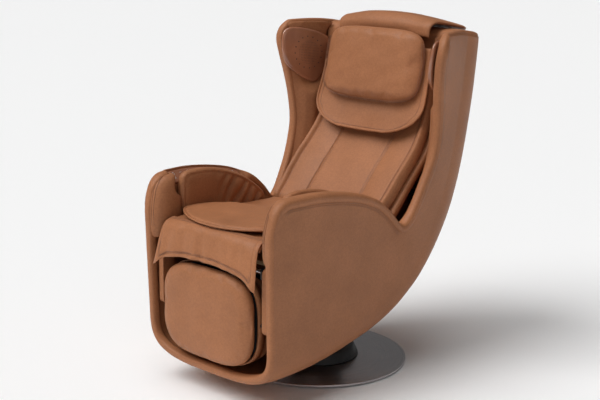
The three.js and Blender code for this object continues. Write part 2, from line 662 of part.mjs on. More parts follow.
function powerInlet() {
  const [, y0, z0] = shellPoint(INLET_S - 0.01, 0, 0);
  const [, y1, z1] = shellPoint(INLET_S + 0.01, 0, 0);
  const slope = Math.atan2(z1 - z0, y1 - y0);
  // Built lying on the shell: x across, y up the back, -z outwards.
  const place = (geometry) => geometry.rotateX(slope).translate(110, (y0 + y1) / 2, (z0 + z1) / 2);
  const plate = block(-34, 34, -21, 21, -10, -3);
  const socket = block(-28, -1, -11, 11, -12, -5);
  const well = block(5, 25, -13, 13, -12, -4.5);
  add("power_inlet", place(cut(plate, socket, well)), BLACK_PLASTIC);
  const key = roundedOutline([[-12, -8], [-12, -13], [0, -10.4], [12, -11], [12, -8], [4, -5], [-4, -5]], 1);
  add("power_switch", place(plateX(key, 6, 24, 2)), BLACK_PLASTIC);
}

base();
swivel();
seatFrame();
legBrackets();
tiltActuator();
electronics();
shellPanels();
massageRails();
carriage();
seat();
back();
arms();
legRest();
powerInlet();

export default group;
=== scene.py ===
import json
import math
import bmesh
import bpy
import numpy as np
from mathutils import Matrix, Vector


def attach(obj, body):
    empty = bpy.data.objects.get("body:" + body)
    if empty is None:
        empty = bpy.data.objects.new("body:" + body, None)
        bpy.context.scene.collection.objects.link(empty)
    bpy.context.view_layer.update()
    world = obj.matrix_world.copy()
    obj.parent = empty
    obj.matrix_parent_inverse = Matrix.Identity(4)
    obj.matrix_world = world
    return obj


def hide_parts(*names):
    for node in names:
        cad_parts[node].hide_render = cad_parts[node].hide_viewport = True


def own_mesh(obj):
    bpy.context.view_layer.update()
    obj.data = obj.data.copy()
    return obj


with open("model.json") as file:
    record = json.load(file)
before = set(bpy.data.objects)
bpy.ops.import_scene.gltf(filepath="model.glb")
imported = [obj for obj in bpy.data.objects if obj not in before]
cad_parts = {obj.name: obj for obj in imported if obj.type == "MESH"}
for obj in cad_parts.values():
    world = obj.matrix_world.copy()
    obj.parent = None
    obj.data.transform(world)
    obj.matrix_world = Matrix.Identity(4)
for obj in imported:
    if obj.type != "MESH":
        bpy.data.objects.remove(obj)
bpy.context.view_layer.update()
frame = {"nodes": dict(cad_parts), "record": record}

NODES = frame["nodes"]

# ---------------------------------------------------------------- shell numbers, as in the CAD (mm)

SHELL_WALL = 24.0
LINING_WALL = 16.0
CHEEK_X = 252.0
SPEAKER_AT = (0.25, 0.995)
PANEL_ENDS = (0.14, 0.325)
PANEL_LIP = 6.0
PANEL_RUN = 34.0
TOP_BOW = 18.0
# spine y, spine z, rim y, rim z, half width at the corner, half width at the rim, corner depth, roundness
RIBS = np.array([
    [-497, 75, -512, 552, 276, 281, 152, 3.4],
    [-475, 72, -496, 622, 277, 284, 152, 3.4],
    [-440, 69, -462, 658, 279, 287, 152, 3.4],
    [-380, 68, -405, 662, 281, 290, 152, 3.3],
    [-300, 70, -320, 661, 282, 294, 152, 3.2],
    [-210, 77, -225, 650, 283, 297, 152, 3.0],
    [-115, 91, -130, 630, 285, 299, 150, 2.8],
    [-20, 114, -45, 596, 287, 301, 142, 2.7],
    [72, 147, 16, 549, 290, 303, 138, 2.6],
    [148, 188, 62, 502, 294, 306, 142, 2.6],
    [219, 235, 98, 522, 298, 310, 152, 2.6],
    [287, 296, 130, 572, 302, 314, 168, 2.6],
    [348, 370, 160, 630, 306, 318, 180, 2.6],
    [400, 456, 186, 692, 309, 325, 186, 2.6],
    [442, 553, 201, 757, 311, 329, 188, 2.6],
    [475, 655, 198, 830, 312, 335, 188, 2.6],
    [500, 762, 186, 905, 313, 343, 186, 2.6],
    [520, 868, 171, 980, 314, 355, 184, 2.6],
    [535, 965, 166, 1038, 313, 366, 182, 2.6],
    [543, 1020, 181, 1078, 312, 364, 180, 2.6],
    [547, 1055, 208, 1100, 311, 353, 180, 2.6],
])


def smoothstep(x, a, b):
    f = np.clip((np.asarray(x, float) - a) / (b - a), 0, 1)
    return f * f * (3 - 2 * f)


def bump(x, width):
    return np.exp(-(np.asarray(x, float) / width) ** 2)


def catmull_rom(p0, p1, p2, p3, f):
    m1, m2 = (p2 - p0) / 2, (p3 - p1) / 2
    return p1 + m1 * f + (3 * (p2 - p1) - 2 * m1 - m2) * f ** 2 + (2 * (p1 - p2) + m1 + m2) * f ** 3


def rib_at(s):
    spans = len(RIBS) - 1
    s = np.asarray(s, float)
    i = np.clip(np.floor(s * spans).astype(int), 0, spans - 1)
    f = (s * spans - i)[..., None]
    return catmull_rom(RIBS[np.clip(i - 1, 0, spans)], RIBS[i], RIBS[i + 1], RIBS[np.clip(i + 2, 0, spans)], f)


def shell(s, t, inset=0.0):
    """Points of the shell in metres: s along the spine, t from the middle (0) to the rim (+-1)."""
    s, t, inset = np.broadcast_arrays(*(np.asarray(a, float) for a in (s, t, inset)))
    rib = rib_at(s)
    spine, rim = rib[..., 0:2], rib[..., 2:4]
    half, rim_half, corner, power = (rib[..., k] for k in (4, 5, 6, 7))
    length = np.linalg.norm(rim - spine, axis=-1)
    way = (rim - spine) / length[..., None]
    u = np.abs(t)
    angle = np.minimum(u / 0.5, 1) * math.pi / 2
    wall = np.maximum(0, (u - 0.5) / 0.5)
    e = 2 / power
    cos_e = np.clip(np.cos(angle), 0, 1) ** e
    sin_e = np.clip(np.sin(angle), 0, 1) ** e
    depth = inset + (corner - inset) * (1 - cos_e) + (length - corner) * wall
    x = (half - inset) * sin_e + (rim_half - half) * wall
    bow = TOP_BOW * np.sin(math.pi * depth / length) * np.maximum(0, s * 10 - 9)
    y = spine[..., 0] + way[..., 0] * depth
    z = spine[..., 1] + way[..., 1] * depth + bow
    return np.stack([np.sign(t) * x, y, z], -1) / 1000


# ---------------------------------------------------------------- mesh helpers

SIDES = (("left", 1), ("right", -1))
NEAR_SEAM = np.array([-0.012, -0.006, -0.003, 0, 0.003, 0.006, 0.012])


def mm(points):
    return [tuple(c / 1000 for c in p) for p in points]


def add_object(name, data):
    obj = bpy.data.objects.new(name, data)
    bpy.context.scene.collection.objects.link(obj)
    return obj


def mesh_object(name, verts, faces, smooth=True):
    mesh = bpy.data.meshes.new(name)
    mesh.from_pydata([tuple(v) for v in np.asarray(verts, float)], [], [list(f) for f in faces])
    bm = bmesh.new()
    bm.from_mesh(mesh)
    bmesh.ops.remove_doubles(bm, verts=bm.verts, dist=1e-6)
    bmesh.ops.recalc_face_normals(bm, faces=bm.faces)
    for f in bm.faces:
        f.smooth = smooth
    bm.to_mesh(mesh)
    bm.free()
    return add_object(name, mesh)


def quads(rows, cols, start=0, wrap=False, reverse=False):
    i, j = np.meshgrid(np.arange(rows - 1), np.arange(cols if wrap else cols - 1), indexing="ij")
    k = (j + 1) % cols
    near, far = i * cols + start, (i + 1) * cols + start
    f = np.stack([near + j, near + k, far + k, far + j], -1).reshape(-1, 4)
    return f[:, ::-1] if reverse else f


def plate(name, front, rear):
    """A closed solid between two grids of the same size."""
    rows, cols = front.shape[:2]
    n = rows * cols
    verts = np.concatenate([front.reshape(-1, 3), rear.reshape(-1, 3)])
    border = np.concatenate([
        np.arange(cols), np.arange(1, rows) * cols + cols - 1,
        (rows - 1) * cols + np.arange(cols - 2, -1, -1), np.arange(rows - 2, 0, -1) * cols])
    after = np.roll(border, -1)
    sides = np.stack([border, border + n, after + n, after], -1)
    faces = [*quads(rows, cols), *quads(rows, cols, n, reverse=True), *sides]
    return mesh_object(name, verts, faces)


def tube(name, rings, closed=False):
    """A lofted solid through closed rings; its ends are capped unless the loft itself is a loop."""
    rows, cols = rings.shape[:2]
    verts = rings.reshape(-1, 3)
    if closed:
        verts = np.concatenate([verts, verts[:cols]])
        return mesh_object(name, verts, quads(rows + 1, cols, wrap=True))
    faces = [*quads(rows, cols, wrap=True), np.arange(cols)[::-1], (rows - 1) * cols + np.arange(cols)]
    return mesh_object(name, verts, faces)


def put(obj, body, material, slot, *nodes):
    obj.data.materials.clear()
    obj.data.materials.append(material)
    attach(obj, body)
    if nodes:
        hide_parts(*nodes)
    return obj


def unit(v):
    return v / np.maximum(np.linalg.norm(v, axis=-1, keepdims=True), 1e-12)


def sample(x, xs, values):
    """The columns of values at x, between the places xs."""
    return np.stack([np.interp(x, xs, values[:, k]) for k in range(values.shape[1])], -1)


def along(points, step=None, count=None, loop=False):
    """Even steps along a polyline."""
    points = np.asarray(points, float)
    if loop:
        points = np.concatenate([points, points[:1]])
    d = np.concatenate([[0], np.cumsum(np.linalg.norm(np.diff(points, axis=0), axis=1))])
    n = count or max(2, int(round(d[-1] / step)) + 1)
    at = np.linspace(0, d[-1], n + 1)[:-1] if loop else np.linspace(0, d[-1], n)
    return sample(at, d, points)


def spline(points, count=60):
    """An even smooth curve through the points."""
    p = np.asarray(points, float)
    p = np.concatenate([[2 * p[0] - p[1]], p, [2 * p[-1] - p[-2]]])
    f = np.linspace(0, 1, 24, endpoint=False)[:, None]
    out = [catmull_rom(*p[i - 1:i + 3], f) for i in range(1, len(p) - 2)]
    return along(np.concatenate([*out, p[-2:-1]]), count=count)


def relax(points, times):
    """Smooths a row of points, with its ends held."""
    for _ in range(times):
        points[1:-1] = (points[:-2] + 2 * points[1:-1] + points[2:]) / 4
    return points


def front_normals(face):
    """The normals of a grid, turned to the chair's front."""
    ds, dv = np.gradient(face, axis=0), np.gradient(face, axis=1)
    n = unit(np.cross(dv, ds))
    return n * np.where(n[..., 1:2] > 0, -1, 1)


def level(height):
    """A face at one height."""
    return lambda a, b, c: np.full_like(a, height)


# ---------------------------------------------------------------- materials

def base_material(name):
    """A new material: itself, its node tree, its shader and its object coordinates."""
    mat = bpy.data.materials.new(name)
    mat.use_nodes = True
    nt = mat.node_tree
    coords = nt.nodes.new("ShaderNodeTexCoord").outputs["Object"]
    return mat, nt, nt.nodes["Principled BSDF"], coords


def node(nt, kind, **values):
    n = nt.nodes.new(kind)
    for key, value in values.items():
        if key in n.inputs:
            n.inputs[key].default_value = value
        else:
            setattr(n, key, value)
    return n


def noise(nt, vector, scale, detail, roughness):
    n = node(nt, "ShaderNodeTexNoise", Scale=scale, Detail=detail, Roughness=roughness)
    nt.links.new(vector, n.inputs["Vector"])
    return n.outputs["Fac"]


def ramp(nt, source, low, high, start=0.3, end=0.7):
    r = nt.nodes.new("ShaderNodeValToRGB")
    r.color_ramp.elements[0].position = start
    r.color_ramp.elements[1].position = end
    r.color_ramp.elements[0].color = (*low, 1)
    r.color_ramp.elements[1].color = (*high, 1)
    nt.links.new(source, r.inputs["Fac"])
    return r.outputs["Color"]


def rgb(grey):
    return (grey, grey, grey)


def vary(nt, source, color, amount):
    """The colour, darker and lighter by a share."""
    c = np.array(color)
    return ramp(nt, source, tuple(c * (1 - amount)), tuple(c * (1 + amount)))


def multiply(nt, a, b, factor):
    mix = nt.nodes.new("ShaderNodeMix")
    mix.data_type, mix.blend_type = "RGBA", "MULTIPLY"
    mix.inputs["Factor"].default_value = factor
    nt.links.new(a, mix.inputs["A"])
    nt.links.new(b, mix.inputs["B"])
    return mix.outputs["Result"]


def relief(nt, height, strength, distance, under=None):
    """A bump, on top of another one if there is one."""
    b = node(nt, "ShaderNodeBump", Strength=strength, Distance=distance)
    nt.links.new(height, b.inputs["Height"])
    if under is not None:
        nt.links.new(under, b.inputs["Normal"])
    return b.outputs["Normal"]


def finish_look(nt, shader, color, rough, normal, **values):
    """Links colour, roughness and normal, and sets the rest on the shader's own sockets."""
    nt.links.new(color, shader.inputs["Base Color"])
    nt.links.new(rough, shader.inputs["Roughness"])
    nt.links.new(normal, shader.inputs["Normal"])
    for key, value in values.items():
        shader.inputs[key.replace("_", " ")].default_value = value


def leather(name, color, rough=0.5, slack=1.0):
    """Fine-grained upholstery leather: pebble grain, soft waviness, slightly mottled colour."""
    mat, nt, shader, coords = base_material(name)
    mottle = noise(nt, coords, 7.0, 6.0, 0.62)
    fine = noise(nt, coords, 160.0, 4.0, 0.6)
    soft = noise(nt, coords, 26.0, 3.0, 0.5)
    cells = node(nt, "ShaderNodeTexVoronoi", Scale=620.0, feature="DISTANCE_TO_EDGE", Randomness=0.95)
    nt.links.new(coords, cells.inputs["Vector"])
    pebble = cells.outputs["Distance"]
    speck = ramp(nt, fine, rgb(0.9), rgb(1.06), 0.35, 0.65)
    crease = ramp(nt, pebble, rgb(0.84), rgb(1.0), 0.0, 0.12)
    mix = multiply(nt, multiply(nt, vary(nt, mottle, color, 0.1), speck, 1.0), crease, 0.8)
    gloss = ramp(nt, fine, rgb(rough - 0.06), rgb(rough + 0.08))
    waves = relief(nt, soft, 0.25 * slack, 0.004)
    finish_look(nt, shader, mix, gloss, relief(nt, pebble, 0.35, 0.0006, waves), Specular_IOR_Level=0.22)
    return mat


def metal(name, color, rough, scale=(1, 1, 1), frequency=60.0, variation=0.1, metallic=1.0, bumpiness=0.05):
    """Drawn or coated stock: streaks or grain along an axis, and slight smudges."""
    mat, nt, shader, coords = base_material(name)
    stretch = node(nt, "ShaderNodeMapping", Scale=scale)
    nt.links.new(coords, stretch.inputs["Vector"])
    lines = noise(nt, stretch.outputs["Vector"], frequency, 5.0, 0.7)
    smudge = noise(nt, coords, 9.0, 4.0, 0.6)
    gloss = ramp(nt, lines, rgb(rough * 0.75), rgb(min(1.0, rough * 1.35)))
    finish_look(nt, shader, vary(nt, smudge, color, variation), gloss, relief(nt, lines, bumpiness, 0.0004),
                Metallic=metallic)
    return mat


def turned_steel(name, color, rough):
    """Steel polished on a lathe: fine rings about the vertical axis and a slight haze."""
    mat, nt, shader, coords = base_material(name)
    link = nt.links.new
    split = nt.nodes.new("ShaderNodeSeparateXYZ")
    link(coords, split.inputs["Vector"])
    flat = nt.nodes.new("ShaderNodeCombineXYZ")
    link(split.outputs["X"], flat.inputs["X"])
    link(split.outputs["Y"], flat.inputs["Y"])
    length = node(nt, "ShaderNodeVectorMath", operation="LENGTH")
    link(flat.outputs["Vector"], length.inputs[0])
    radius = nt.nodes.new("ShaderNodeCombineXYZ")
    link(length.outputs["Value"], radius.inputs["X"])
    rings = noise(nt, radius.outputs["Vector"], 420.0, 4.0, 0.75)
    haze = noise(nt, coords, 6.0, 5.0, 0.6)
    gloss = ramp(nt, rings, rgb(rough * 0.7), rgb(rough * 1.4))
    finish_look(nt, shader, vary(nt, haze, color, 0.06), gloss, relief(nt, rings, 0.12, 0.0003), Metallic=1.0)
    return mat


def plastic(name, color, rough, grain=900.0, bumpiness=0.25, coat=0.0):
    """Moulded plastic, rubber or thread: fine grain and a cloudy gloss."""
    mat, nt, shader, coords = base_material(name)
    spark = noise(nt, coords, grain, 3.0, 0.6)
    cloud = noise(nt, coords, 14.0, 4.0, 0.55)
    gloss = ramp(nt, cloud, rgb(rough * 0.85), rgb(min(1.0, rough * 1.2)))
    finish_look(nt, shader, vary(nt, cloud, color, 0.15), gloss, relief(nt, spark, bumpiness, 0.0003),
                Coat_Weight=coat, Coat_Roughness=0.06)
    return mat


TAN = (0.38, 0.155, 0.069)
LEATHER = leather("tan_leather", TAN, 0.47)
LEATHER_SHELL = leather("tan_shell_leather", TAN, 0.45, slack=0.25)
LEATHER_CALF = leather("tan_calf_leather", (0.33, 0.145, 0.072), 0.6, slack=1.4)
THREAD = plastic("tan_thread", (0.27, 0.125, 0.07), 0.6, 1500.0, 0.5)
INK = plastic("pale_ink", (0.75, 0.72, 0.68), 0.5, 900.0, 0.02)
STEEL_DISC = turned_steel("turned_steel", (0.66, 0.63, 0.64), 0.3)
STEEL_BRIGHT = metal("ground_steel", (0.6, 0.6, 0.6), 0.25, (1, 1, 12))
STEEL_BLACK = metal("black_powder_coat", (0.022, 0.022, 0.023), 0.5, frequency=900.0, metallic=0.2,
                    bumpiness=0.3)
PLASTIC_BLACK = plastic("black_moulded_plastic", (0.018, 0.018, 0.018), 0.45)
GLOSS_BROWN = plastic("gloss_brown_plastic", (0.34, 0.135, 0.07), 0.16, 300.0, 0.02, coat=0.8)
# painted shade: this near-black colour stands for the shade inside the speakers' dots and perforations
PERFORATION_SHADE = plastic("painted_perforation_shade", (0.03, 0.014, 0.01), 0.5, 900.0, 0.1)
RUBBER = plastic("black_rubber", (0.015, 0.015, 0.015), 0.85, 500.0, 0.5)
PLYWOOD = metal("birch_plywood", (0.45, 0.29, 0.15), 0.6, (1, 14, 30), 24.0, 0.2, metallic=0.0,
                bumpiness=0.3)
SLOT_LOOK = {
    "leather": LEATHER, "shell_leather": LEATHER_SHELL, "calf_leather": LEATHER_CALF,
    "brushed_steel": STEEL_DISC, "bright_steel": STEEL_BRIGHT, "black_steel": STEEL_BLACK,
    "black_plastic": PLASTIC_BLACK, "speaker_gloss": GLOSS_BROWN, "rubber": RUBBER, "plywood": PLYWOOD,
}


def dress_cad_nodes():
    for part in frame["record"]["subparts"]:
        obj = NODES[part["node"]]
        look = SLOT_LOOK[part["material_slot"]]
        for k in range(max(1, len(obj.material_slots))):
            if k < len(obj.material_slots):
                obj.material_slots[k].material = look
            else:
                obj.data.materials.append(look)


# ---------------------------------------------------------------- stitches and piping

THREAD_RADIUS, THREAD_PITCH, THREAD_LENGTH = 0.0007, 0.0075, 0.0052
THREAD_RINGS = ((-0.5, 0.35, -0.8), (-0.28, 1.0, 0.0), (0.28, 1.0, 0.0), (0.5, 0.35, -0.8))  # place, size, sink


def around(a, b, sides):
    """Unit circles in the planes of a and b, one row for each pair."""
    turn = np.linspace(0, 2 * math.pi, sides, endpoint=False)
    return a[:, None] * np.cos(turn)[None, :, None] + b[:, None] * np.sin(turn)[None, :, None]


def stitches(name, rows, body, sides=6):
    """Threads lying along seams: rows is a list of (points, normals)."""
    skin = quads(len(THREAD_RINGS), sides, wrap=True)
    size = len(THREAD_RINGS) * sides
    verts, faces, count = [], [], 0
    for points, normals in rows:
        both = along(np.concatenate([points, normals], 1), step=THREAD_PITCH)
        p, n = both[:, :3], unit(both[:, 3:])
        t = unit(np.gradient(p, axis=0))
        circle = around(unit(np.cross(t, n)), n, sides)
        rings = []
        for f, r, sink in THREAD_RINGS:
            centre = p + t * (THREAD_LENGTH * f) + n * (THREAD_RADIUS * (0.35 + sink))
            rings.append(centre[:, None] + THREAD_RADIUS * r * circle)
        verts.append(np.stack(rings, 1).reshape(-1, 3))
        starts = count + np.arange(len(p)) * size
        faces.extend((skin[None] + starts[:, None, None]).reshape(-1, 4).tolist())
        count += len(p) * size
    mesh = bpy.data.meshes.new(name)
    mesh.from_pydata([tuple(v) for v in np.concatenate(verts)], [], faces)
    obj = add_object(name, mesh)
    smooth_shade(obj)
    return put(obj, body, THREAD, "leather")


def piping(name, points, radius, body, loop=False):
    """A round welt along a line; its ends taper."""
    p = along(points, step=0.006, loop=loop)
    t = unit(np.roll(p, -1, 0) - np.roll(p, 1, 0)) if loop else unit(np.gradient(p, axis=0))
    a = unit(np.cross(t, np.array([0.31, 0.17, 0.94])))
    r = np.full(len(p), radius)
    if not loop:
        ends = np.minimum(np.arange(len(p)), np.arange(len(p))[::-1])
        r = radius * np.sqrt(np.clip((ends + 0.3) / 3, 0, 1))
    rings = p[:, None] + r[:, None, None] * around(a, np.cross(t, a), 10)
    return put(tube(name, rings, closed=loop), body, LEATHER, "leather")


# ---------------------------------------------------------------- shell, rim and linings

def shell_skin():
    """The leather-covered moulding, with sunk seams in the middle of the lip and along the pans."""
    side_seam, cross_seam, width = 0.3, 0.47, 0.0042
    t = [np.linspace(-0.985, 0.985, 150), NEAR_SEAM, side_seam + NEAR_SEAM, -side_seam + NEAR_SEAM]
    s = [np.linspace(0.022, 0.985, 110), cross_seam + NEAR_SEAM]
    S, T = np.meshgrid(*(np.unique(np.concatenate(a).round(5)) for a in (s, t)), indexing="ij")
    sunk = 2.2 * np.maximum.reduce([
        bump(T, width) * (S < cross_seam), bump(np.abs(T) - side_seam, width),
        bump(S - cross_seam, width) * (np.abs(T) < side_seam)])
    skin = plate("shell_skin", shell(S, T, sunk), shell(S, T, SHELL_WALL))
    cut_away(skin, column_window())
    cut_away(skin, panel_recess())
    put(skin, "seat_shell", LEATHER_SHELL, "shell_leather",
        "shell_bottom_pan", "shell_back_pan", "shell_side_left", "shell_side_right")


def column_window():
    """The opening under the seat that the column passes through."""
    hole = bpy.data.meshes.new("window")
    bm = bmesh.new()
    place = Matrix.Translation((0, 0, 0.13)) @ Matrix.Diagonal((0.216, 0.156, 0.14, 1))
    bmesh.ops.create_cube(bm, size=1, matrix=place)
    upright = [e for e in bm.edges if abs(e.verts[0].co.z - e.verts[1].co.z) > 0.1]
    bmesh.ops.bevel(bm, geom=upright, offset=0.03, segments=6, affect="EDGES")
    bm.to_mesh(hole)
    bm.free()
    return add_object("window", hole)


def rim_slope(lifts, run, ends=PANEL_ENDS, rows=60, cols=12):
    """Grids on the 45 degree slope inside the right arm's rim, each at its own height above the slope (mm)."""
    s = np.linspace(*ends, rows)
    edge = shell(s, -np.ones(rows)) * 1000
    inwards = np.linspace(run[0], run[1], cols)
    grids = []
    for lift in lifts:
        rise = np.asarray(lift, float) * math.sqrt(0.5) * np.ones((rows, cols))
        x, z = edge[:, 0, None] + inwards + rise, edge[:, 2, None] - inwards + rise
        grids.append(np.stack([x, edge[:, 1, None] + 0 * rise, z], -1) / 1000)
    return grids


def panel_recess():
    """The cutter that makes room for the touch panel: from just under it to well above the rim."""
    ends = (PANEL_ENDS[0] - 0.001, PANEL_ENDS[1] + 0.001)
    low, high = rim_slope((-0.8, 60), (PANEL_LIP - 1, PANEL_RUN + 30), ends)
    return plate("panel_recess", high, low)


def cut_away(obj, cutter):
    m = obj.modifiers.new("cut", "BOOLEAN")
    m.operation, m.solver, m.object = "DIFFERENCE", "EXACT", cutter
    apply_modifiers(obj)
    bpy.data.objects.remove(cutter)


def apply_modifiers(obj):
    bpy.context.view_layer.update()
    graph = bpy.context.evaluated_depsgraph_get()
    mesh = bpy.data.meshes.new_from_object(obj.evaluated_get(graph))
    obj.modifiers.clear()
    obj.data = mesh


def rim_loop(count=620):
    """Around the shell's edge: points on the outer face, directions inwards and off the edge, s and t."""
    f = np.linspace(0, 1, 400)
    st = np.concatenate([
        np.stack([np.ones(400), f], -1), np.stack([1 - f, np.ones(400)], -1),
        np.stack([np.zeros(800), np.linspace(1, -1, 800)], -1),
        np.stack([f, -np.ones(400)], -1), np.stack([np.ones(400), f - 1], -1)])
    keep = np.concatenate([[True], np.linalg.norm(np.diff(shell(st[:, 0], st[:, 1]), axis=0), axis=1) > 1e-7])
    st = st[keep][:-1]
    p = shell(st[:, 0], st[:, 1])
    q = shell(st[:, 0], st[:, 1], 8.0)
    even = along(np.concatenate([p, q - p, st], 1), count=4 * count, loop=True)
    for _ in range(24):
        even[:, :6] = (np.roll(even[:, :6], 1, 0) + 2 * even[:, :6] + np.roll(even[:, :6], -1, 0)) / 4
    even = even[::4]
    p, n = even[:, :3], unit(even[:, 3:6])
    t = unit(np.roll(p, -1, 0) - np.roll(p, 1, 0))
    n = unit(n - t * np.sum(n * t, -1, keepdims=True))
    e = unit(np.cross(n, t))
    return p, n, e, even[:, 6], even[:, 7]


RIM = rim_loop()


def rim_band():
    """The leather band folded over the shell's edge, with two rows of stitches on its front part."""
    p, n, e, s, u = RIM
    side = smoothstep(np.abs(u), 0.78, 0.95)
    front = 1 - smoothstep(s, 0.02, 0.1)
    wing = smoothstep(s, 0.40, 0.55)
    width = (27 + 16 * side * (1 - 0.72 * front) * (1 - 0.55 * wing) * (1 - smoothstep(s, 0.965, 1.0))) / 1000
    beside_panel = smoothstep(s, 0.128, 0.138) * (1 - smoothstep(s, 0.327, 0.337)) * (u < -0.9)
    width += (PANEL_LIP / 1000 + 0.001 - width) * beside_panel
    height, squareness = 0.024, 0.62
    a = np.linspace(0, math.pi, 19)
    x = 0.5 - 0.5 * np.sign(np.cos(a)) * np.abs(np.cos(a)) ** squareness
    lift = -height + (height + 0.003) * np.sin(a) ** squareness
    across, up = width[:, None] * x[None], lift[None] + 0 * width[:, None]
    rings = p[:, None] + n[:, None] * across[..., None] + e[:, None] * up[..., None]
    on_arms = 1 - smoothstep(s, 0.40, 0.50)[:, None]
    proud = 0.0018 * bump(a - 0.45, 0.4)[None] * on_arms
    rings -= n[:, None] * proud[..., None]
    put(tube("rim_band", rings, closed=True), "seat_shell", LEATHER_SHELL, "shell_leather")
    lower = s < 0.45
    start = int(np.argmin(lower)) if lower[0] else 0
    order = np.roll(np.arange(len(s)), -start)
    order = order[lower[order]]
    rows = [((p + e * off - n * 0.0003)[order], -n[order]) for off in (-0.0285, -0.0345)]
    stitches("rim_stitches", rows, "seat_shell")


def linings():
    """Padded inner faces of the arms and wings; along the wings they slope in to meet the back pad."""
    s = np.unique(np.concatenate([np.linspace(0.02, 0.1, 20), np.linspace(0.1, 0.985, 100)]).round(5))
    f = np.linspace(0, 1, 34)
    wing, front = smoothstep(s, 0.36, 0.5), 1 - smoothstep(s, 0.05, 0.09)
    low, high = 0.79 + 0.075 * front - 0.23 * wing, 0.972 + 0.016 * wing
    T = low[:, None] + (high - low)[:, None] * f[None]
    S = np.repeat(s[:, None], len(f), 1)
    edge = np.clip(np.minimum(f, 1 - f) / 0.09, 0, 1)[None]
    soft = 0.8 * ripple(S * 1.5, T, 0.16, 61) * smoothstep(np.minimum(f, 1 - f), 0.05, 0.3)
    thick = LINING_WALL + 3.0 * np.sqrt(edge) - 3.0 + soft - 9.0 * wing[:, None] * smoothstep(f, 0.7, 1.0)[None]
    for side, sign in SIDES:
        flat = shell(S, sign * T, SHELL_WALL + 0.6 + thick)
        reach = np.maximum(0, np.abs(flat[..., 0]) * 1000 - CHEEK_X)
        from_speaker = np.hypot(flat[..., 1] - SPEAKER_AT[0], flat[..., 2] - SPEAKER_AT[1])
        pocket = 1 - smoothstep(from_speaker, 0.105, 0.15)
        swell = wing[:, None] * reach * (1 - smoothstep(f, 0.35, 1))[None] * (1 - pocket)
        outer = shell(S, sign * T, SHELL_WALL + 0.6)
        inner = shell(S, sign * T, SHELL_WALL + 0.6 + thick + swell)
        pad = plate(f"side_lining_soft_{side}", outer, inner)
        if sign < 0:
            cut_away(pad, panel_recess())
        put(pad, "seat_shell", LEATHER, "leather", f"side_lining_{side}")


def arm_bolsters():
    """The round front of each arm, between the rim band and the arm pad."""
    p, n, e, s, u = RIM
    pad = closed_outline(mm(ARM_OUTLINE), count=400)
    a = np.linspace(math.pi / 2, 0, 22)
    inwards = np.concatenate([0.022 + 0.049 * np.cos(a) ** 0.8, [0.05, 0.022]])
    drop = np.concatenate([1 - np.sin(a) ** 0.8, [1.0, 1.0]])
    for side, sign in SIDES:
        here = np.nonzero((u * sign > 0.855) & (s < 0.15))[0]
        p1, n1, e1 = p[here], n[here], e[here]
        gap = np.linalg.norm(p1[:, None, 1:] - pad[None], axis=-1).min(axis=1) - 0.003
        depth = np.clip(gap, 0.006, 0.1)
        ends = np.minimum(np.arange(len(here)), np.arange(len(here))[::-1]) / 5
        taper = 0.4 + 0.6 * rounded(ends)[:, None]
        ring_in = 0.03 + (inwards[None] - 0.03) * taper
        ring_down = depth[:, None] * (0.15 + (drop[None] - 0.15) * taper) + 0.0015
        rings = relax(p1[:, None] + n1[:, None] * ring_in[..., None] - e1[:, None] * ring_down[..., None], 3)
        body = tube(f"arm_bolster_{side}", rings)
        if sign < 0:
            cut_away(body, panel_recess())
        put(body, "seat_shell", LEATHER, "leather")
        out = unit(e1 + n1 * 0.35)[6:-6]
        rows = [(rings[6:-6, k] + out * 0.0004, out) for k in (2, 4)]
        stitches(f"arm_bolster_stitches_{side}", rows, "seat_shell")


# ---------------------------------------------------------------- soft shapes

def ripple(x, y, size, seed, count=9):
    """A smooth random relief of about +-1 with features of the given size, the same on every run."""
    rng = np.random.default_rng(seed)
    out = 0
    for _ in range(count):
        angle, phase, f = rng.uniform(0, 2 * math.pi), rng.uniform(0, 2 * math.pi), rng.uniform(0.6, 1.6)
        across = x * math.cos(angle) + y * math.sin(angle)
        out = out + np.sin(across * 2 * math.pi * f / size + phase)
    return out / math.sqrt(count)


def rounded(q):
    """A quarter circle that rises from 0 to 1."""
    return np.sqrt(np.clip(1 - (1 - np.clip(q, 0, 1)) ** 2, 0, 1))


def cushion(name, path, half, front, rear, edge=0.018, ends=(0.018, 0.018), rows=90, cols=80, marks=()):
    """A pad that follows a path in the (y, z) plane, with rounded edges where its two faces meet.
    Returns the pad, its front face as a grid and the place of each row along the path."""
    line = spline(path, rows)
    length = np.linalg.norm(np.diff(line, axis=0), axis=1).sum()
    even = np.linspace(0, 1, rows)
    s = 0.5 - 0.5 * np.cos(math.pi * even) * (0.35 + 0.65 * np.abs(np.cos(math.pi * even)))
    s = (s - s[0]) / (s[-1] - s[0])
    t = unit(sample(s, even, unit(np.gradient(line, axis=0))))
    line = sample(s, even, line)
    v = np.sin(np.linspace(-math.pi / 2, math.pi / 2, cols))
    v = np.sign(v) * np.abs(v) ** 0.8
    v = np.unique(np.concatenate([v, *[m + NEAR_SEAM for m in marks]]).round(5)) if marks else v
    w = half(s)
    S, V = np.meshgrid(s, v, indexing="ij")
    X = V * w[:, None]
    dx = (1 - np.abs(V)) * w[:, None]
    k = rounded(dx / edge) * rounded(S * length / ends[0]) * rounded((1 - S) * length / ends[1])
    hi, lo = front(S, V, X), rear(S, V, X)
    mid = (hi + lo) / 2
    grids = []
    for h in (mid + (hi - mid) * k, mid + (lo - mid) * k):
        y, z = line[:, 0, None] - t[:, 1, None] * h, line[:, 1, None] + t[:, 0, None] * h
        grids.append(np.stack([X, y, z], -1))
    return plate(name, *grids), grids[0], s


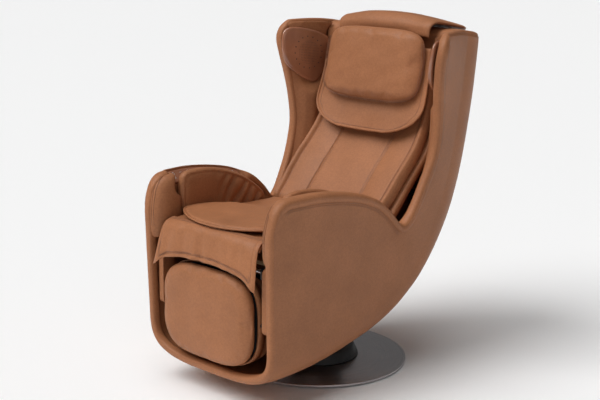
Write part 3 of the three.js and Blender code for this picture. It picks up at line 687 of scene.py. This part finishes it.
def closed_outline(points, count=220):
    """An even, smooth closed outline through the corners of a polygon, rounded as a B-spline."""
    p = np.asarray(points, float)
    f = np.linspace(0, 1, 24, endpoint=False)[:, None]
    weights = ((1 - f) ** 3, 3 * f ** 3 - 6 * f ** 2 + 4, -3 * f ** 3 + 3 * f ** 2 + 3 * f + 1, f ** 3)
    out = [sum(w * p[(i + k) % len(p)] for w, k in zip(weights, (-1, 0, 1, 2))) / 6 for i in range(len(p))]
    return along(np.concatenate(out), count=count, loop=True)


def inset_outline(outline, d):
    """The outline moved inwards by d."""
    t = unit(np.roll(outline, -1, 0) - np.roll(outline, 1, 0))
    n = np.stack([-t[:, 1], t[:, 0]], -1)
    x, y = outline[:, 0], outline[:, 1]
    area = np.sum(x * np.roll(y, -1) - y * np.roll(x, -1))
    return outline + n * d * (1 if area > 0 else -1)


def pad_from_outline(name, outline, place, face, back, edge, band=0.012, rings=22):
    """A padded slab: place(a, b, h) gives the point, face and back the heights over the outline's plane.
    Rings close to the border keep an even distance from it; the others shrink to the middle."""
    inner = inset_outline(outline, band)
    centre = inner.mean(axis=0)
    reach = np.linalg.norm(inner - centre, axis=1).min()
    near, far = np.linspace(0, 1, 9) ** 1.6 * band, np.linspace(1, 0.03, rings)[1:]
    loops = np.array([inset_outline(outline, d) for d in near] + [centre + (inner - centre) * r for r in far])
    depth = np.concatenate([near, band + (1 - far) * reach])[:, None]
    k = rounded(depth / edge)
    a, b = loops[..., 0], loops[..., 1]
    hi, lo = face(a, b, depth), back(a, b, depth)
    mid = (hi + lo) / 2
    front, rear = place(a, b, mid + (hi - mid) * k), place(a, b, mid + (lo - mid) * k)
    return tube(name, np.concatenate([front[::-1], rear[1:]]))


def inflate(obj, cap, pressure=4.0, voxel=0.006, frames=20):
    """Blows the pad up as cloth, with no gravity, and keeps every point within cap of where it started."""
    m = obj.modifiers.new("remesh", "REMESH")
    m.mode, m.voxel_size = "VOXEL", voxel
    apply_modifiers(obj)
    start = coordinates(obj)
    cloth = obj.modifiers.new("cloth", "CLOTH")
    st = cloth.settings
    st.quality, st.mass, st.air_damping = 6, 0.3, 4.0
    st.tension_stiffness = st.compression_stiffness = 18
    st.shear_stiffness, st.bending_stiffness = 8, 1.2
    st.use_pressure, st.uniform_pressure_force = True, pressure
    st.effector_weights.gravity = 0
    cloth.collision_settings.use_collision = False
    scene = bpy.context.scene
    for f in range(1, frames + 1):
        scene.frame_set(f)
    apply_modifiers(obj)
    scene.frame_set(1)
    move = coordinates(obj) - start
    size = np.linalg.norm(move, axis=1, keepdims=True)
    set_coordinates(obj, start + move * np.minimum(1, cap / np.maximum(size, 1e-9)))
    m = obj.modifiers.new("smooth", "SUBSURF")
    m.levels = m.render_levels = 1
    apply_modifiers(obj)
    smooth_shade(obj)


def coordinates(obj):
    co = np.empty(len(obj.data.vertices) * 3)
    obj.data.vertices.foreach_get("co", co)
    return co.reshape(-1, 3)


def set_coordinates(obj, co):
    obj.data.vertices.foreach_set("co", np.asarray(co, float).reshape(-1))
    obj.data.update()


def smooth_shade(obj):
    obj.data.polygons.foreach_set("use_smooth", [True] * len(obj.data.polygons))


# ---------------------------------------------------------------- back rest, flap, pillow and top cover

BACK_PATH = [(16, 512), (55, 552), (139, 642), (230, 735), (298, 850), (334, 960), (356, 1076)]


def back_pad():
    """Three sewn panels between piped edges, with soft creases across them."""
    seam, mid_side, half_side = 0.11, 0.163, 0.053
    half = lambda s: (232 + 16 * np.sin(math.pi * np.minimum(1, s * 1.3)) - 20 * s) / 1000

    def front(S, V, X):
        inside = np.abs(X)
        welt = half(S) - 0.013
        panel = np.where(inside < seam, 1 - (X / seam) ** 2, 1 - ((inside - mid_side) / half_side) ** 2)
        height = (14 * V ** 2 - 8) + 4.0 * np.clip(panel, 0, 1) - 2.4 * bump(inside - seam, 0.0028)
        height += 8.0 * np.clip(1 - ((inside - welt) / 0.014) ** 2, 0, 1)
        height -= 4.0 * bump(inside - (welt - 0.015), 0.0035)
        lines = np.sin((X * 0.35 + S * 0.62) * 2 * math.pi / 0.085 + 1.4 * ripple(X, S * 0.62, 0.2, 6))
        soft = ripple(X * 0.5 + S * 0.55, S * 1.0 - X * 0.3, 0.16, 3)
        return (height + soft * 0.8 - 0.9 * np.clip(lines, 0.6, 1) * (inside < 0.2)) / 1000

    def rear(S, V, X):
        return -(30 + (12 - 12 * S) * (1 - V ** 2)) / 1000

    pad, face, s = cushion("back_cushion", mm(BACK_PATH), half, front, rear, edge=0.012, ends=(0.03, 0.02),
                           rows=120, cols=110, marks=(-seam / 0.236, seam / 0.236))
    put(pad, "seat_shell", LEATHER, "leather", "back_pad")
    rows = []
    for sign in (-1, 1):
        for off in (-0.005, 0.005):
            rows.append(seam_line(face, s, half, sign * (seam + off)))
        rows.append(seam_line(face, s, half, sign, follow_edge=0.031))
    stitches("back_cushion_stitches", rows, "seat_shell")


def back_shrouds():
    """Leather strips that close the gap between the back pad and the wings."""
    line = spline(mm(BACK_PATH), 60)
    t = unit(np.gradient(line, axis=0))
    across = np.linspace(0.205, 0.2495, 10)
    for side, sign in SIDES:
        grids = []
        for base in (0.030, 0.056):
            height = base + 0.004 * ((across - 0.227) / 0.022) ** 2 * (base < 0.04)
            y = line[:, 0, None] + t[:, 1, None] * height
            z = line[:, 1, None] - t[:, 0, None] * height
            grids.append(np.stack([sign * across + 0 * y, y, z], -1))
        put(plate(f"back_shroud_soft_{side}", *grids), "seat_shell", LEATHER, "leather", f"back_shroud_{side}")


def seam_line(face, s, half, x, follow_edge=None):
    """A seam along a cushion at a constant x, or at a constant distance from its edge."""
    target = np.full(len(s), x) if follow_edge is None else np.sign(x) * (half(s) - follow_edge)
    grid = np.concatenate([face, front_normals(face)], -1)
    line = np.array([sample(target[i], face[i, :, 0], grid[i]) for i in range(3, len(s) - 3)])
    return line[:, :3], unit(line[:, 3:])


def head_flap():
    """The padded flap behind the pillow, piped around its open edge."""
    path = mm([(218, 748), (240, 795), (264, 848), (290, 930), (310, 1035)])
    half = lambda s: 0.234 * (1 - np.clip(1 - s / 0.42, 0, 1) ** 2.5) ** (1 / 2.5) + 0.004 - 0.02 * s

    def front(S, V, X):
        crown = 3 * (1 - V ** 2) * np.sin(math.pi * np.clip(S * 1.6, 0, 1))
        return (12 + 7 * V ** 2 + crown + 0.5 * ripple(X, S * 0.3, 0.1, 5)) / 1000

    def rear(S, V, X):
        return (1.5 + 9 * V ** 2) / 1000

    flap, face, _ = cushion("head_flap_soft", path, half, front, rear, edge=0.01, ends=(0.008, 0.01),
                            rows=80, cols=60)
    put(flap, "seat_shell", LEATHER, "leather", "head_flap")
    edge = np.concatenate([face[5:60, 0][::-1], face[5, 1:-1], face[5:60, -1]])
    piping("head_flap_piping", along(edge, step=0.006) + np.array([0, -0.003, 0.0]), 0.0042, "seat_shell")
    stitches("head_flap_stitches", [inner_line(face, 0.018)], "seat_shell")


def inner_line(face, d):
    """A line near the open U edge of the flap, on its face."""
    cols = face.shape[1]
    grid = np.concatenate([face, front_normals(face)], -1)
    fall = np.cumsum(np.concatenate([[0], np.linalg.norm(np.diff(face[:, cols // 2], axis=0), axis=1)]))
    i0 = int(np.argmin(np.abs(fall - d)))
    in_by_d = lambda i: int(np.argmin(np.abs((face[i, :, 0] - face[i, 0, 0]) - d)))
    left = [grid[i, in_by_d(i)] for i in range(i0, 58)]
    right = [grid[i, cols - 1 - in_by_d(i)] for i in range(i0, 58)]
    k0 = in_by_d(i0)
    out = np.concatenate([np.array(left)[::-1], grid[i0, k0 + 1:cols - 1 - k0], np.array(right)])
    n = unit(out[:, 3:])
    return out[:, :3] + n * 0.0004, n


def pillow():
    """A thick block pillow with a stitched gusset, hung in front of the flap."""
    path = mm([(250, 846), (272, 905), (291, 985), (306, 1096)])
    half = lambda s: (0.198 + 0.010 * np.sin(math.pi * s)) * (1 - np.abs(2 * s - 1) ** 7) ** (1 / 3.2) + 0.0005

    def front(S, V, X):
        crown = (1 - V ** 4) * np.sin(math.pi * (0.14 + 0.72 * S))
        return (34 + 20 * crown + 0.9 * ripple(X, S * 0.25, 0.09, 11)) / 1000

    soft = cushion("head_pillow_soft", path, half, front, level(0.0015), edge=0.026, ends=(0.03, 0.03),
                   rows=90, cols=90)[0]
    inflate(soft, 0.004, voxel=0.005)
    put(soft, "pillow", LEATHER, "leather", "head_pillow")
    rim = gusset_loop(path, half)
    seams = ((0.020, 0.0005), (0.026, 0.001), (0.033, 0.003))
    rows = [gusset_row(rim, height, inset) for height, inset in seams]
    stitches("head_pillow_stitches", rows, "pillow")


def gusset_loop(path, half, count=260):
    """The pillow's outline in its own sheet: points and the sheet's normals."""
    line = spline(path, 200)
    s = np.linspace(0, 1, 200)
    t = unit(np.gradient(line, axis=0))
    right = np.stack([half(s), line[:, 0], line[:, 1]], -1)
    loop = np.concatenate([right, right[::-1] * np.array([-1, 1, 1])])
    n = np.stack([0 * s, -t[:, 1], t[:, 0]], -1)
    both = along(np.concatenate([loop, np.concatenate([n, n[::-1]])], 1), count=count, loop=True)
    return both[:, :3], unit(both[:, 3:])


def gusset_row(rim, height, inset):
    """A row of threads around the gusset, left out along the upper edge, which swings past the top cover."""
    p, n = rim
    t = unit(np.roll(p, -1, 0) - np.roll(p, 1, 0))
    out = unit(np.cross(t, n))
    out = out * np.where(np.sum(out * (p - p.mean(axis=0)), -1, keepdims=True) < 0, -1, 1)
    line = p + n * height + out * (0.0006 - inset)
    below = p[:, 2] < 1.05
    start = np.nonzero(~below)[0][-1] + 1
    order = np.roll(np.arange(len(p)), -start)
    order = order[below[order]]
    return line[order], out[order]


def top_cover():
    """The pleated cover that rolls from behind the pillow over the top edge."""
    path = mm([(309, 1072), (310, 1090), (316, 1108), (334, 1119), (362, 1122), (430, 1111), (500, 1096),
               (546, 1080), (558, 1068)])
    half = lambda s: (194 + 26 * s) * np.sqrt(1 - 0.9 * np.clip((s - 0.7) / 0.3, 0, 1) ** 2) / 1000

    def front(S, V, X):
        pleat = 1.5 * np.sin(9 * np.arctan2(X - 0.02, 0.12 + S * 0.2))
        pleat = pleat * smoothstep(1 - S, 0.3, 0.9) * smoothstep(np.abs(V), 0.1, 0.6)
        rise = np.sin(math.pi * (0.22 + 0.6 * S)) * smoothstep(S, 0.02, 0.25)
        return (1 + 23 * (1 - V ** 2) * rise + pleat) / 1000

    cover = cushion("top_cover_soft", path, half, front, level(-0.009), edge=0.014, ends=(0.01, 0.012),
                    rows=90, cols=70)[0]
    put(cover, "seat_shell", LEATHER, "leather", "top_cover")


def head_deck():
    """The lining across the top, under the cover, from wing to wing."""
    path = mm([(352, 1010), (352, 1060), (366, 1086), (420, 1090), (480, 1078), (524, 1050)])
    half = lambda s: (282 * (1 - 0.42 * smoothstep(s, 0.45, 1.0))) / 1000
    front = lambda S, V, X: (4 + 4 * (1 - V ** 2) + 0.6 * ripple(X, S * 0.2, 0.1, 71)) / 1000
    deck = cushion("head_deck", path, half, front, level(-0.006), edge=0.006, ends=(0.006, 0.006),
                   rows=50, cols=50)[0]
    put(deck, "seat_shell", LEATHER, "leather")


# ---------------------------------------------------------------- seat

def seat_pad():
    """The seat cushion, turned down over the shell's front edge."""
    path = mm([(2, 523), (-120, 524), (-300, 534), (-430, 529), (-474, 522), (-488, 510), (-491, 499)])
    half = lambda s: np.full_like(s, 0.206)

    def upper(S, V, X):
        return -(3 + 3 * (1 - V ** 2) + 0.8 * ripple(X, S * 0.5, 0.12, 21)) / 1000

    def lower(S, V, X):
        return (70 - 52 * smoothstep(S, 0.72, 0.86)) / 1000

    pad = cushion("seat_cushion", path, half, lower, upper, edge=0.012, ends=(0.012, 0.012),
                  rows=90, cols=60)[0]
    put(pad, "seat_shell", LEATHER, "leather", "seat_pad")


def seat_overlay():
    """The thin oval pad on the seat, with two curved seams and a piped edge."""
    corners = mm([(-200, -420), (-122, -476), (0, -500), (122, -476), (200, -420), (214, -378), (190, -290),
                  (100, -222), (0, -205), (-100, -222), (-190, -290), (-214, -378)])
    outline = closed_outline(corners)

    def face(a, b, d):
        sag = -3.0 * smoothstep(d, 0.05, 0.13)
        arcs = 1.6 * bump(b + 0.47 + 0.9 * (a - 0.13) ** 2 * 3 - 0.07, 0.003) * (a > -0.02)
        arcs = arcs + 1.6 * bump(b + 0.26 - 0.10 * np.cos(a * 9), 0.003) * (np.abs(a) < 0.15)
        return (13 + sag - arcs + 0.7 * ripple(a, b, 0.11, 31)) / 1000

    place = lambda a, b, h: np.stack([a, b, 0.541 + h + 0.006 * (a / 0.2) ** 2], -1)
    soft = pad_from_outline("seat_overlay_soft", outline, place, face, level(0.001), 0.009)
    inflate(soft, 0.002, voxel=0.004, pressure=2.0)
    put(soft, "seat_shell", LEATHER, "leather", "seat_overlay")
    rim = place(outline[:, 0], outline[:, 1], 0.006 + 0 * outline[:, 0])
    piping("seat_overlay_piping", rim, 0.0036, "seat_shell", loop=True)


def skirt():
    """The leather apron: it starts on the seat, rolls over its front edge and hangs to an arched hem."""
    rows, cols = 60, 170
    v = np.sin(np.linspace(-math.pi / 2, math.pi / 2, cols))
    F, V = np.meshgrid(np.linspace(0, 1, rows), v, indexing="ij")
    middle, edge = (along(spline(mm(line), 80), count=rows) for line in (
        [(-470, 540), (-486, 538.5), (-500, 531), (-509, 516), (-514, 491), (-520, 461), (-525, 438)],
        [(-452, 533), (-474, 528), (-491, 516), (-502, 494), (-510, 464), (-518, 426), (-526, 388)]))
    to_edge = np.abs(V) ** 2.6 * 0.75 + 0.25 * smoothstep(np.abs(V), 0.75, 1.0)
    y, z = (middle[:, k, None] + (edge[:, k] - middle[:, k])[:, None] * to_edge for k in (0, 1))
    x = (0.206 + 0.019 * F ** 1.3) * V
    fold = ripple(V * 0.21, F * 0.02, 0.05, 41) * 0.0022 * F
    fold = fold + 0.0024 * np.sin(V * 19 + 0.8) * F ** 1.1 * (1 - np.abs(V) ** 4)
    face = np.stack([x, y - fold, z], -1)
    n = front_normals(face)
    step = np.linalg.norm(np.diff(face, axis=0), axis=-1)
    fall = np.concatenate([np.zeros((1, cols)), np.cumsum(step, axis=0)])
    border = np.minimum(fall[-1][None] - fall, (1 - np.abs(V)) * 0.215)
    welt = 1.3 * np.clip(1 - ((border - 0.0065) / 0.0068) ** 2, 0, 1) - 0.9 * bump(border - 0.0145, 0.0016)
    seam = -1.0 * bump(fall - 0.012, 0.002)
    skin = face + n * ((welt + seam) / 1000)[..., None]
    piece = plate("seat_skirt_soft", skin, face - n * 0.0032)
    put(piece, "seat_shell", LEATHER, "leather", "seat_skirt")
    lines = [contour(face, n, fall, off) for off in (0.008, 0.016)]
    lines.extend(contour_border(face, n, border, off) for off in (0.0125, 0.0168))
    threads = stitches("seat_skirt_stitches", lines, "seat_shell")
    for soft in (piece, threads):
        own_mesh(soft)


def contour(face, n, fall, off):
    """A line across the apron, at one distance below its upper edge."""
    grid = np.concatenate([face, n], -1)
    line = np.array([sample(off, fall[:, j], grid[:, j]) for j in range(4, face.shape[1] - 4)])
    return line[:, :3] + line[:, 3:] * 0.0004, unit(line[:, 3:])


def contour_border(face, n, border, off):
    """A line along the apron's hem, at one distance from it."""
    cols = range(8, face.shape[1] - 8)
    top = len(border) // 3
    rows = [int(np.argmin(np.abs(border[top:, j] - off))) + top for j in cols]
    points, normals = face[rows, cols], n[rows, cols]
    return relax(points, 14) + normals * 0.0006, unit(normals)


# ---------------------------------------------------------------- arms

ARM_OUTLINE = [
    (-408, 470), (-412, 560), (-411, 640), (-398, 664), (-345, 670), (-262, 663), (-190, 642),
    (-118, 610), (-60, 569), (-28, 536), (-34, 504), (-80, 492), (-210, 480)]


def arm_pads():
    """The soft inner pads of the arms, sewn round their edge and gathered towards the rear."""
    outline = closed_outline(mm(ARM_OUTLINE), count=260)

    def face(a, b, d):
        pull = smoothstep(a, -0.29, -0.17) * smoothstep(d, 0.012, 0.026)
        wave = np.sin((a * 0.80 - b * 0.60) * 2 * math.pi / 0.042 + 0.7 * ripple(a, b, 0.12, 4))
        gather = 5.6 * pull * (wave - 0.35 * wave ** 2)
        valley = -5.0 * bump(d - 0.0135, 0.0030)
        return (30 + 3.5 * smoothstep(d, 0.014, 0.04) + valley + gather) / 1000

    for side, sign in SIDES:
        place = lambda a, b, h, sign=sign: np.stack([sign * (0.2405 - h), a, b], -1)
        soft = pad_from_outline(f"arm_pad_soft_{side}", outline, place, face, level(0.001), 0.010,
                                band=0.03, rings=60)
        inflate(soft, 0.0015, voxel=0.004, pressure=2.0)
        put(soft, "seat_shell", LEATHER, "leather", f"arm_pad_{side}")


def lining_fit():
    """|x| of the lining's face beside the head as a quadratic in y and z (metres)."""
    S, T = np.meshgrid(np.linspace(0.7, 0.97, 30), np.linspace(0.55, 0.97, 20), indexing="ij")
    p = shell(S, T, SHELL_WALL + LINING_WALL).reshape(-1, 3)
    p = p[np.hypot(p[:, 1] - SPEAKER_AT[0], p[:, 2] - SPEAKER_AT[1]) < 0.14]
    terms = lambda y, z: np.stack([1 + 0 * y, y, z, y * y, z * z, y * z], -1)
    weights = np.linalg.lstsq(terms(p[:, 1], p[:, 2]), p[:, 0], rcond=None)[0]
    return lambda y, z: terms(y, z) @ weights


def speakers():
    """Rounded triangles, domed, with a ring of small dots and a field of fine perforations, both drawn as dark
    marks of painted shade.
    """
    outline = closed_outline(mm([
        (156, 955), (154, 1015), (160, 1074), (208, 1082), (272, 1070), (345, 1046), (358, 1004), (330, 930),
        (292, 880), (252, 886), (196, 925)]), count=200)
    centre = outline.mean(axis=0)
    seat = lining_fit()
    face = lambda a, b, d: (11 + 9 * smoothstep(d, 0, 0.07)) / 1000
    inner = inset_outline(outline, 0.012) - centre
    angle, span = np.arctan2(inner[:, 1], inner[:, 0]), np.linalg.norm(inner, axis=1)
    order = np.argsort(angle)
    ring = np.linspace(0, 2 * math.pi, 16, endpoint=False)
    grid = np.stack(np.meshgrid(np.arange(-7, 8), np.arange(-7, 8)), -1).reshape(-1, 2) * 0.0055
    dots = [(0.055 * np.array([math.cos(t), math.sin(t)]), 0.0024) for t in ring]
    dots += [(q, 0.0011) for q in grid[np.hypot(grid[:, 0], grid[:, 1]) < 0.041]]
    marks = []
    for q, r in dots:
        reach = np.interp(math.atan2(q[1], q[0]), angle[order], span[order], period=2 * math.pi)
        depth = 0.012 + (1 - np.linalg.norm(q) / reach) * span.min()
        marks.append((q + centre, r, float(face(0, 0, depth))))
    for side, sign in SIDES:
        place = lambda a, b, h, sign=sign: np.stack([sign * (seat(a, b) - h), a, b], -1)
        soft = pad_from_outline(f"speaker_dome_{side}", outline, place, face, level(-0.003), 0.010, rings=24)
        put(soft, "seat_shell", GLOSS_BROWN, "speaker_gloss", f"speaker_{side}")
        studs(f"speaker_dots_{side}", marks, place)


def studs(name, marks, place):
    """Dark round marks, 0.4 mm proud of a domed face: their near-black colour is painted shade for the inside
    of the holes.
    """
    turn = np.linspace(0, 2 * math.pi, 10, endpoint=False)
    circle = np.stack([np.cos(turn), np.sin(turn)], -1)
    verts, faces = [], []
    for middle, radius, height in marks:
        k = len(verts) * 10
        for lift, grow in ((-0.001, 1.0), (0.0004, 0.9)):
            rim = middle + circle * radius * grow
            verts.append(place(rim[:, 0], rim[:, 1], height + lift + 0 * rim[:, 0]))
        faces.extend([k + i, k + (i + 1) % 10, k + 10 + (i + 1) % 10, k + 10 + i] for i in range(10))
        faces.extend([list(range(k, k + 10))[::-1], list(range(k + 10, k + 20))])
    put(mesh_object(name, np.concatenate(verts), faces, smooth=False), "seat_shell", PERFORATION_SHADE, "speaker_gloss")


def control_panel():
    """The glossy touch panel in the slope of the right arm's rim."""
    rows, cols = 70, 26
    s, f = np.meshgrid(np.linspace(0, 1, rows), np.linspace(0, 1, cols), indexing="ij")
    edge, ends = np.minimum(f, 1 - f) * 0.048, np.minimum(s, 1 - s) * 0.21
    height = 5.5 * rounded(edge / 0.004) * rounded(ends / 0.004)
    low, top = rim_slope((0, height), (PANEL_LIP, PANEL_LIP + PANEL_RUN), rows=rows, cols=cols)
    put(plate("control_panel_glossy", top, low), "seat_shell", GLOSS_BROWN, "speaker_gloss", "control_panel")
    icons(top)


def icons(face):
    """Raised pale marks of the touch keys: rings, bars, squares and arrowheads, with no lettering."""
    rows, cols = face.shape[:2]
    down, across = face[1:, :-1] - face[:-1, :-1], face[:-1, 1:] - face[:-1, :-1]
    normal = unit(np.cross(across, down))
    normal = normal * np.where(normal[..., 2:] < 0, -1, 1)
    turn = np.linspace(0, 2 * math.pi, 20, endpoint=False)
    places = [(i, j) for i in np.linspace(0.1, 0.9, 9) for j in (0.3, 0.68)]
    for k, (at_s, at_f) in enumerate(places):
        i, j = int(at_s * (rows - 2)), int(at_f * (cols - 2))
        centre, up = face[i, j] + normal[i, j] * 0.0002, normal[i, j]
        a, b = unit(down[i, j]), unit(across[i, j])
        shape = k % 4
        if shape == 0:
            path = np.stack([np.cos(turn), np.sin(turn)], -1) * 0.0042
        elif shape == 1:
            path = np.array([(-0.004, 0.003), (0.0, -0.004), (0.004, 0.003)])
        elif shape == 2:
            path = np.array([(-0.0045, 0.0), (0.0045, 0.0)])
        else:
            path = np.array([(-0.0035, -0.0035), (0.0035, -0.0035), (0.0035, 0.0035), (-0.0035, 0.0035)])
        ink_line(f"panel_icon_{k:02d}", centre + path[:, :1] * a + path[:, 1:] * b, up, shape in (0, 3))


def ink_line(name, path, up, loop):
    """A flat printed stroke, 0.9 mm wide."""
    ends = np.concatenate([path, path[:1]]) if loop else path
    strokes = []
    for a, b in zip(ends[:-1], ends[1:]):
        side = np.cross(unit(b - a), up) * 0.00045
        strokes.append(np.array([a - side, b - side, b + side, a + side]))
    low = np.concatenate(strokes)
    verts = np.concatenate([low, low + up * 0.0002])
    faces, count = [], len(low)
    for k in range(0, count, 4):
        q = [k, k + 1, k + 2, k + 3]
        faces.append(q[::-1])
        faces.append([v + count for v in q])
        faces.extend([q[i], q[(i + 1) % 4], q[(i + 1) % 4] + count, q[i] + count] for i in range(4))
    put(mesh_object(name, verts, np.array(faces), smooth=False), "seat_shell", INK, "speaker_gloss")


# ---------------------------------------------------------------- leg rest

def leg_outline():
    """A superellipse 392 mm wide and 302 mm high."""
    a = np.linspace(0, 2 * math.pi, 400, endpoint=False)
    c, q = np.cos(a), np.sin(a)
    x = 0.196 * np.sign(c) * np.abs(c) ** (2 / 3.2)
    z = 0.151 * np.sign(q) * np.abs(q) ** (2 / 3.2)
    return along(np.stack([x, z], -1), count=240, loop=True)


def leg_pads():
    """The leg pad: a plain face, a band around its side and, behind, a face with two calf channels."""
    outline = leg_outline()
    centre_z, front_y, rear_y = 0.270, -0.4795, -0.4505

    def plain(a, b, d):
        return (43 + 4 * smoothstep(d, 0, 0.09) + 0.5 * ripple(a, b, 0.12, 51)) / 1000

    def calf(a, b, d):
        deep = sum(np.clip(1 - ((a - c) / 0.068) ** 2, 0, 1) for c in (-0.092, 0.092))
        return (43 - 30 * deep ** 0.8) / 1000

    place = lambda a, b, h: np.stack([a, -0.477 - h, centre_z + b], -1)
    soft = pad_from_outline("leg_pad_soft", outline, place, plain, level(0.0005), 0.022, band=0.03, rings=30)
    inflate(soft, 0.004, voxel=0.005, pressure=3.0)
    put(soft, "leg_pad", LEATHER, "leather", "flip_pad_front")

    band = []
    for y, d in ((front_y, 0.0), (front_y, -0.0015), (rear_y, -0.0015), (rear_y, 0.0), (rear_y, 0.004),
                 (front_y, 0.004)):
        loop = inset_outline(outline, d)
        band.append(np.stack([loop[:, 0], y + 0 * loop[:, 0], centre_z + loop[:, 1]], -1))
    put(tube("leg_pad_band", np.stack(band, 1), closed=True), "leg_pad", LEATHER, "leather")

    place = lambda a, b, h: np.stack([a, -0.453 + h, centre_z + b], -1)
    soft = pad_from_outline("calf_massager_soft", outline, place, calf, level(0.0005), 0.014,
                            band=0.02, rings=60)
    put(soft, "leg_pad", LEATHER_CALF, "calf_leather", "calf_massager")


# ---------------------------------------------------------------- base

def lathe(name, profile, segments=160):
    """A closed profile of (radius, height) in mm, turned about the vertical axis."""
    p = np.asarray(profile, float) / 1000
    a = np.linspace(0, 2 * math.pi, segments, endpoint=False)
    rings = np.stack([p[:, 0, None] * np.cos(a), p[:, 0, None] * np.sin(a), p[:, 1, None] + 0 * a], -1)
    return tube(name, rings, closed=True)


def base():
    """The polished floor disc and the black cover of the column."""
    low = 4.4
    curve = [(300 - 3 * (1 - math.sin(a)), 10 + 3 * math.cos(a)) for a in np.linspace(0, math.pi / 2, 6)]
    disc = [(22, low), (200, low), (296, low), (299, low + 1), (300, low + 3), (300, 8), *curve[::-1],
            (290, 13.1), (276, 13.5), (210, 14.6), (140, 15.5), (100, 16.2), (60, 16.7), (22, 17)]
    put(lathe("base_disc_turned", disc), "base", STEEL_DISC, "brushed_steel", "base_disc")
    cover = [(136, 18), (139, 18), (138.6, 20), (134, 32), (129, 44), (124.6, 51.6), (122.5, 53), (100, 53),
             (66, 53), (66, 50), (122, 50), (126, 42)]
    put(lathe("column_cover_turned", cover, 96), "swivel", PLASTIC_BLACK, "black_plastic", "column_cover")


# ---------------------------------------------------------------- camera, light and floor

def camera():
    """A long lens from the front, to the sitter's left and a little above, with a slight roll."""
    azimuth, elevation, roll = math.radians(42.7961), math.radians(13.1191), math.radians(0.6)
    distance, pan, lift = 4.1776, -0.0622, 0.5294
    flat = math.cos(elevation)
    back = Vector((math.sin(azimuth) * flat, -math.cos(azimuth) * flat, math.sin(elevation)))
    right = (-back).cross(Vector((0, 0, 1))).normalized()
    up = right.cross(-back)
    place = back * distance + right * pan + up * lift
    rolled_right = math.cos(roll) * right + math.sin(roll) * up
    rolled_up = -math.sin(roll) * right + math.cos(roll) * up
    data = bpy.data.cameras.new("camera")
    data.lens, data.sensor_width = 73.8, 36
    cam = add_object("camera", data)
    turn = Matrix((rolled_right, rolled_up, back)).transposed().to_4x4()
    cam.matrix_world = Matrix.Translation(place) @ turn
    bpy.context.scene.camera = cam


SUNS = (  # name, strength, angle, direction
    ("key", 2.0, 0.7, (0.38, 0.75, -1.0)),
    ("overhead", 1.1, 0.8, (0.1, 0.15, -1.0)),
    ("cheek", 0.14, 0.6, (-0.8, 0.55, -0.5)),
)
FILL_FROM, FILL_TO, FILL_SIZE, FILL_POWER = (2.2, -3.6, 1.8), (0, 0, 0.6), 2.4, 1.5
WORLD_STRENGTH, FLOOR_REACH = 0.12, 45


def studio():
    """Soft white light from above and in front, on a pale floor."""
    scene = bpy.context.scene
    world = bpy.data.worlds.new("studio")
    world.use_nodes = True
    background = world.node_tree.nodes["Background"].inputs
    background["Color"].default_value, background["Strength"].default_value = (1, 1, 1, 1), WORLD_STRENGTH
    scene.world = world
    scene.view_settings.view_transform = "Standard"
    for name, energy, angle, direction in SUNS:
        sun = bpy.data.lights.new(name, "SUN")
        sun.energy, sun.angle = energy, angle
        add_object(name, sun).rotation_euler = Vector(direction).to_track_quat("-Z", "Y").to_euler()
    fill = bpy.data.lights.new("fill", "AREA")
    fill.shape, fill.size, fill.energy, fill.color = "DISK", FILL_SIZE, FILL_POWER, (1, 1, 1)
    lamp = add_object("fill", fill)
    lamp.location = FILL_FROM
    lamp.rotation_euler = (Vector(FILL_TO) - Vector(FILL_FROM)).to_track_quat("-Z", "Y").to_euler()
    r = FLOOR_REACH
    mesh = bpy.data.meshes.new("floor")
    mesh.from_pydata([(-r, -r, 0), (r, -r, 0), (r, r, 0), (-r, r, 0)], [], [(0, 1, 2, 3)])
    floor = add_object("floor", mesh)
    pale = bpy.data.materials.new("pale_floor")
    pale.use_nodes = True
    surface = pale.node_tree.nodes["Principled BSDF"].inputs
    surface["Base Color"].default_value, surface["Roughness"].default_value = (0.97, 0.97, 0.97, 1), 0.8
    mesh.materials.append(pale)


camera()
studio()
dress_cad_nodes()
shell_skin()
rim_band()
linings()
arm_bolsters()
back_shrouds()
back_pad()
head_flap()
pillow()
head_deck()
top_cover()
seat_pad()
seat_overlay()
skirt()
arm_pads()
speakers()
control_panel()
leg_pads()
base()
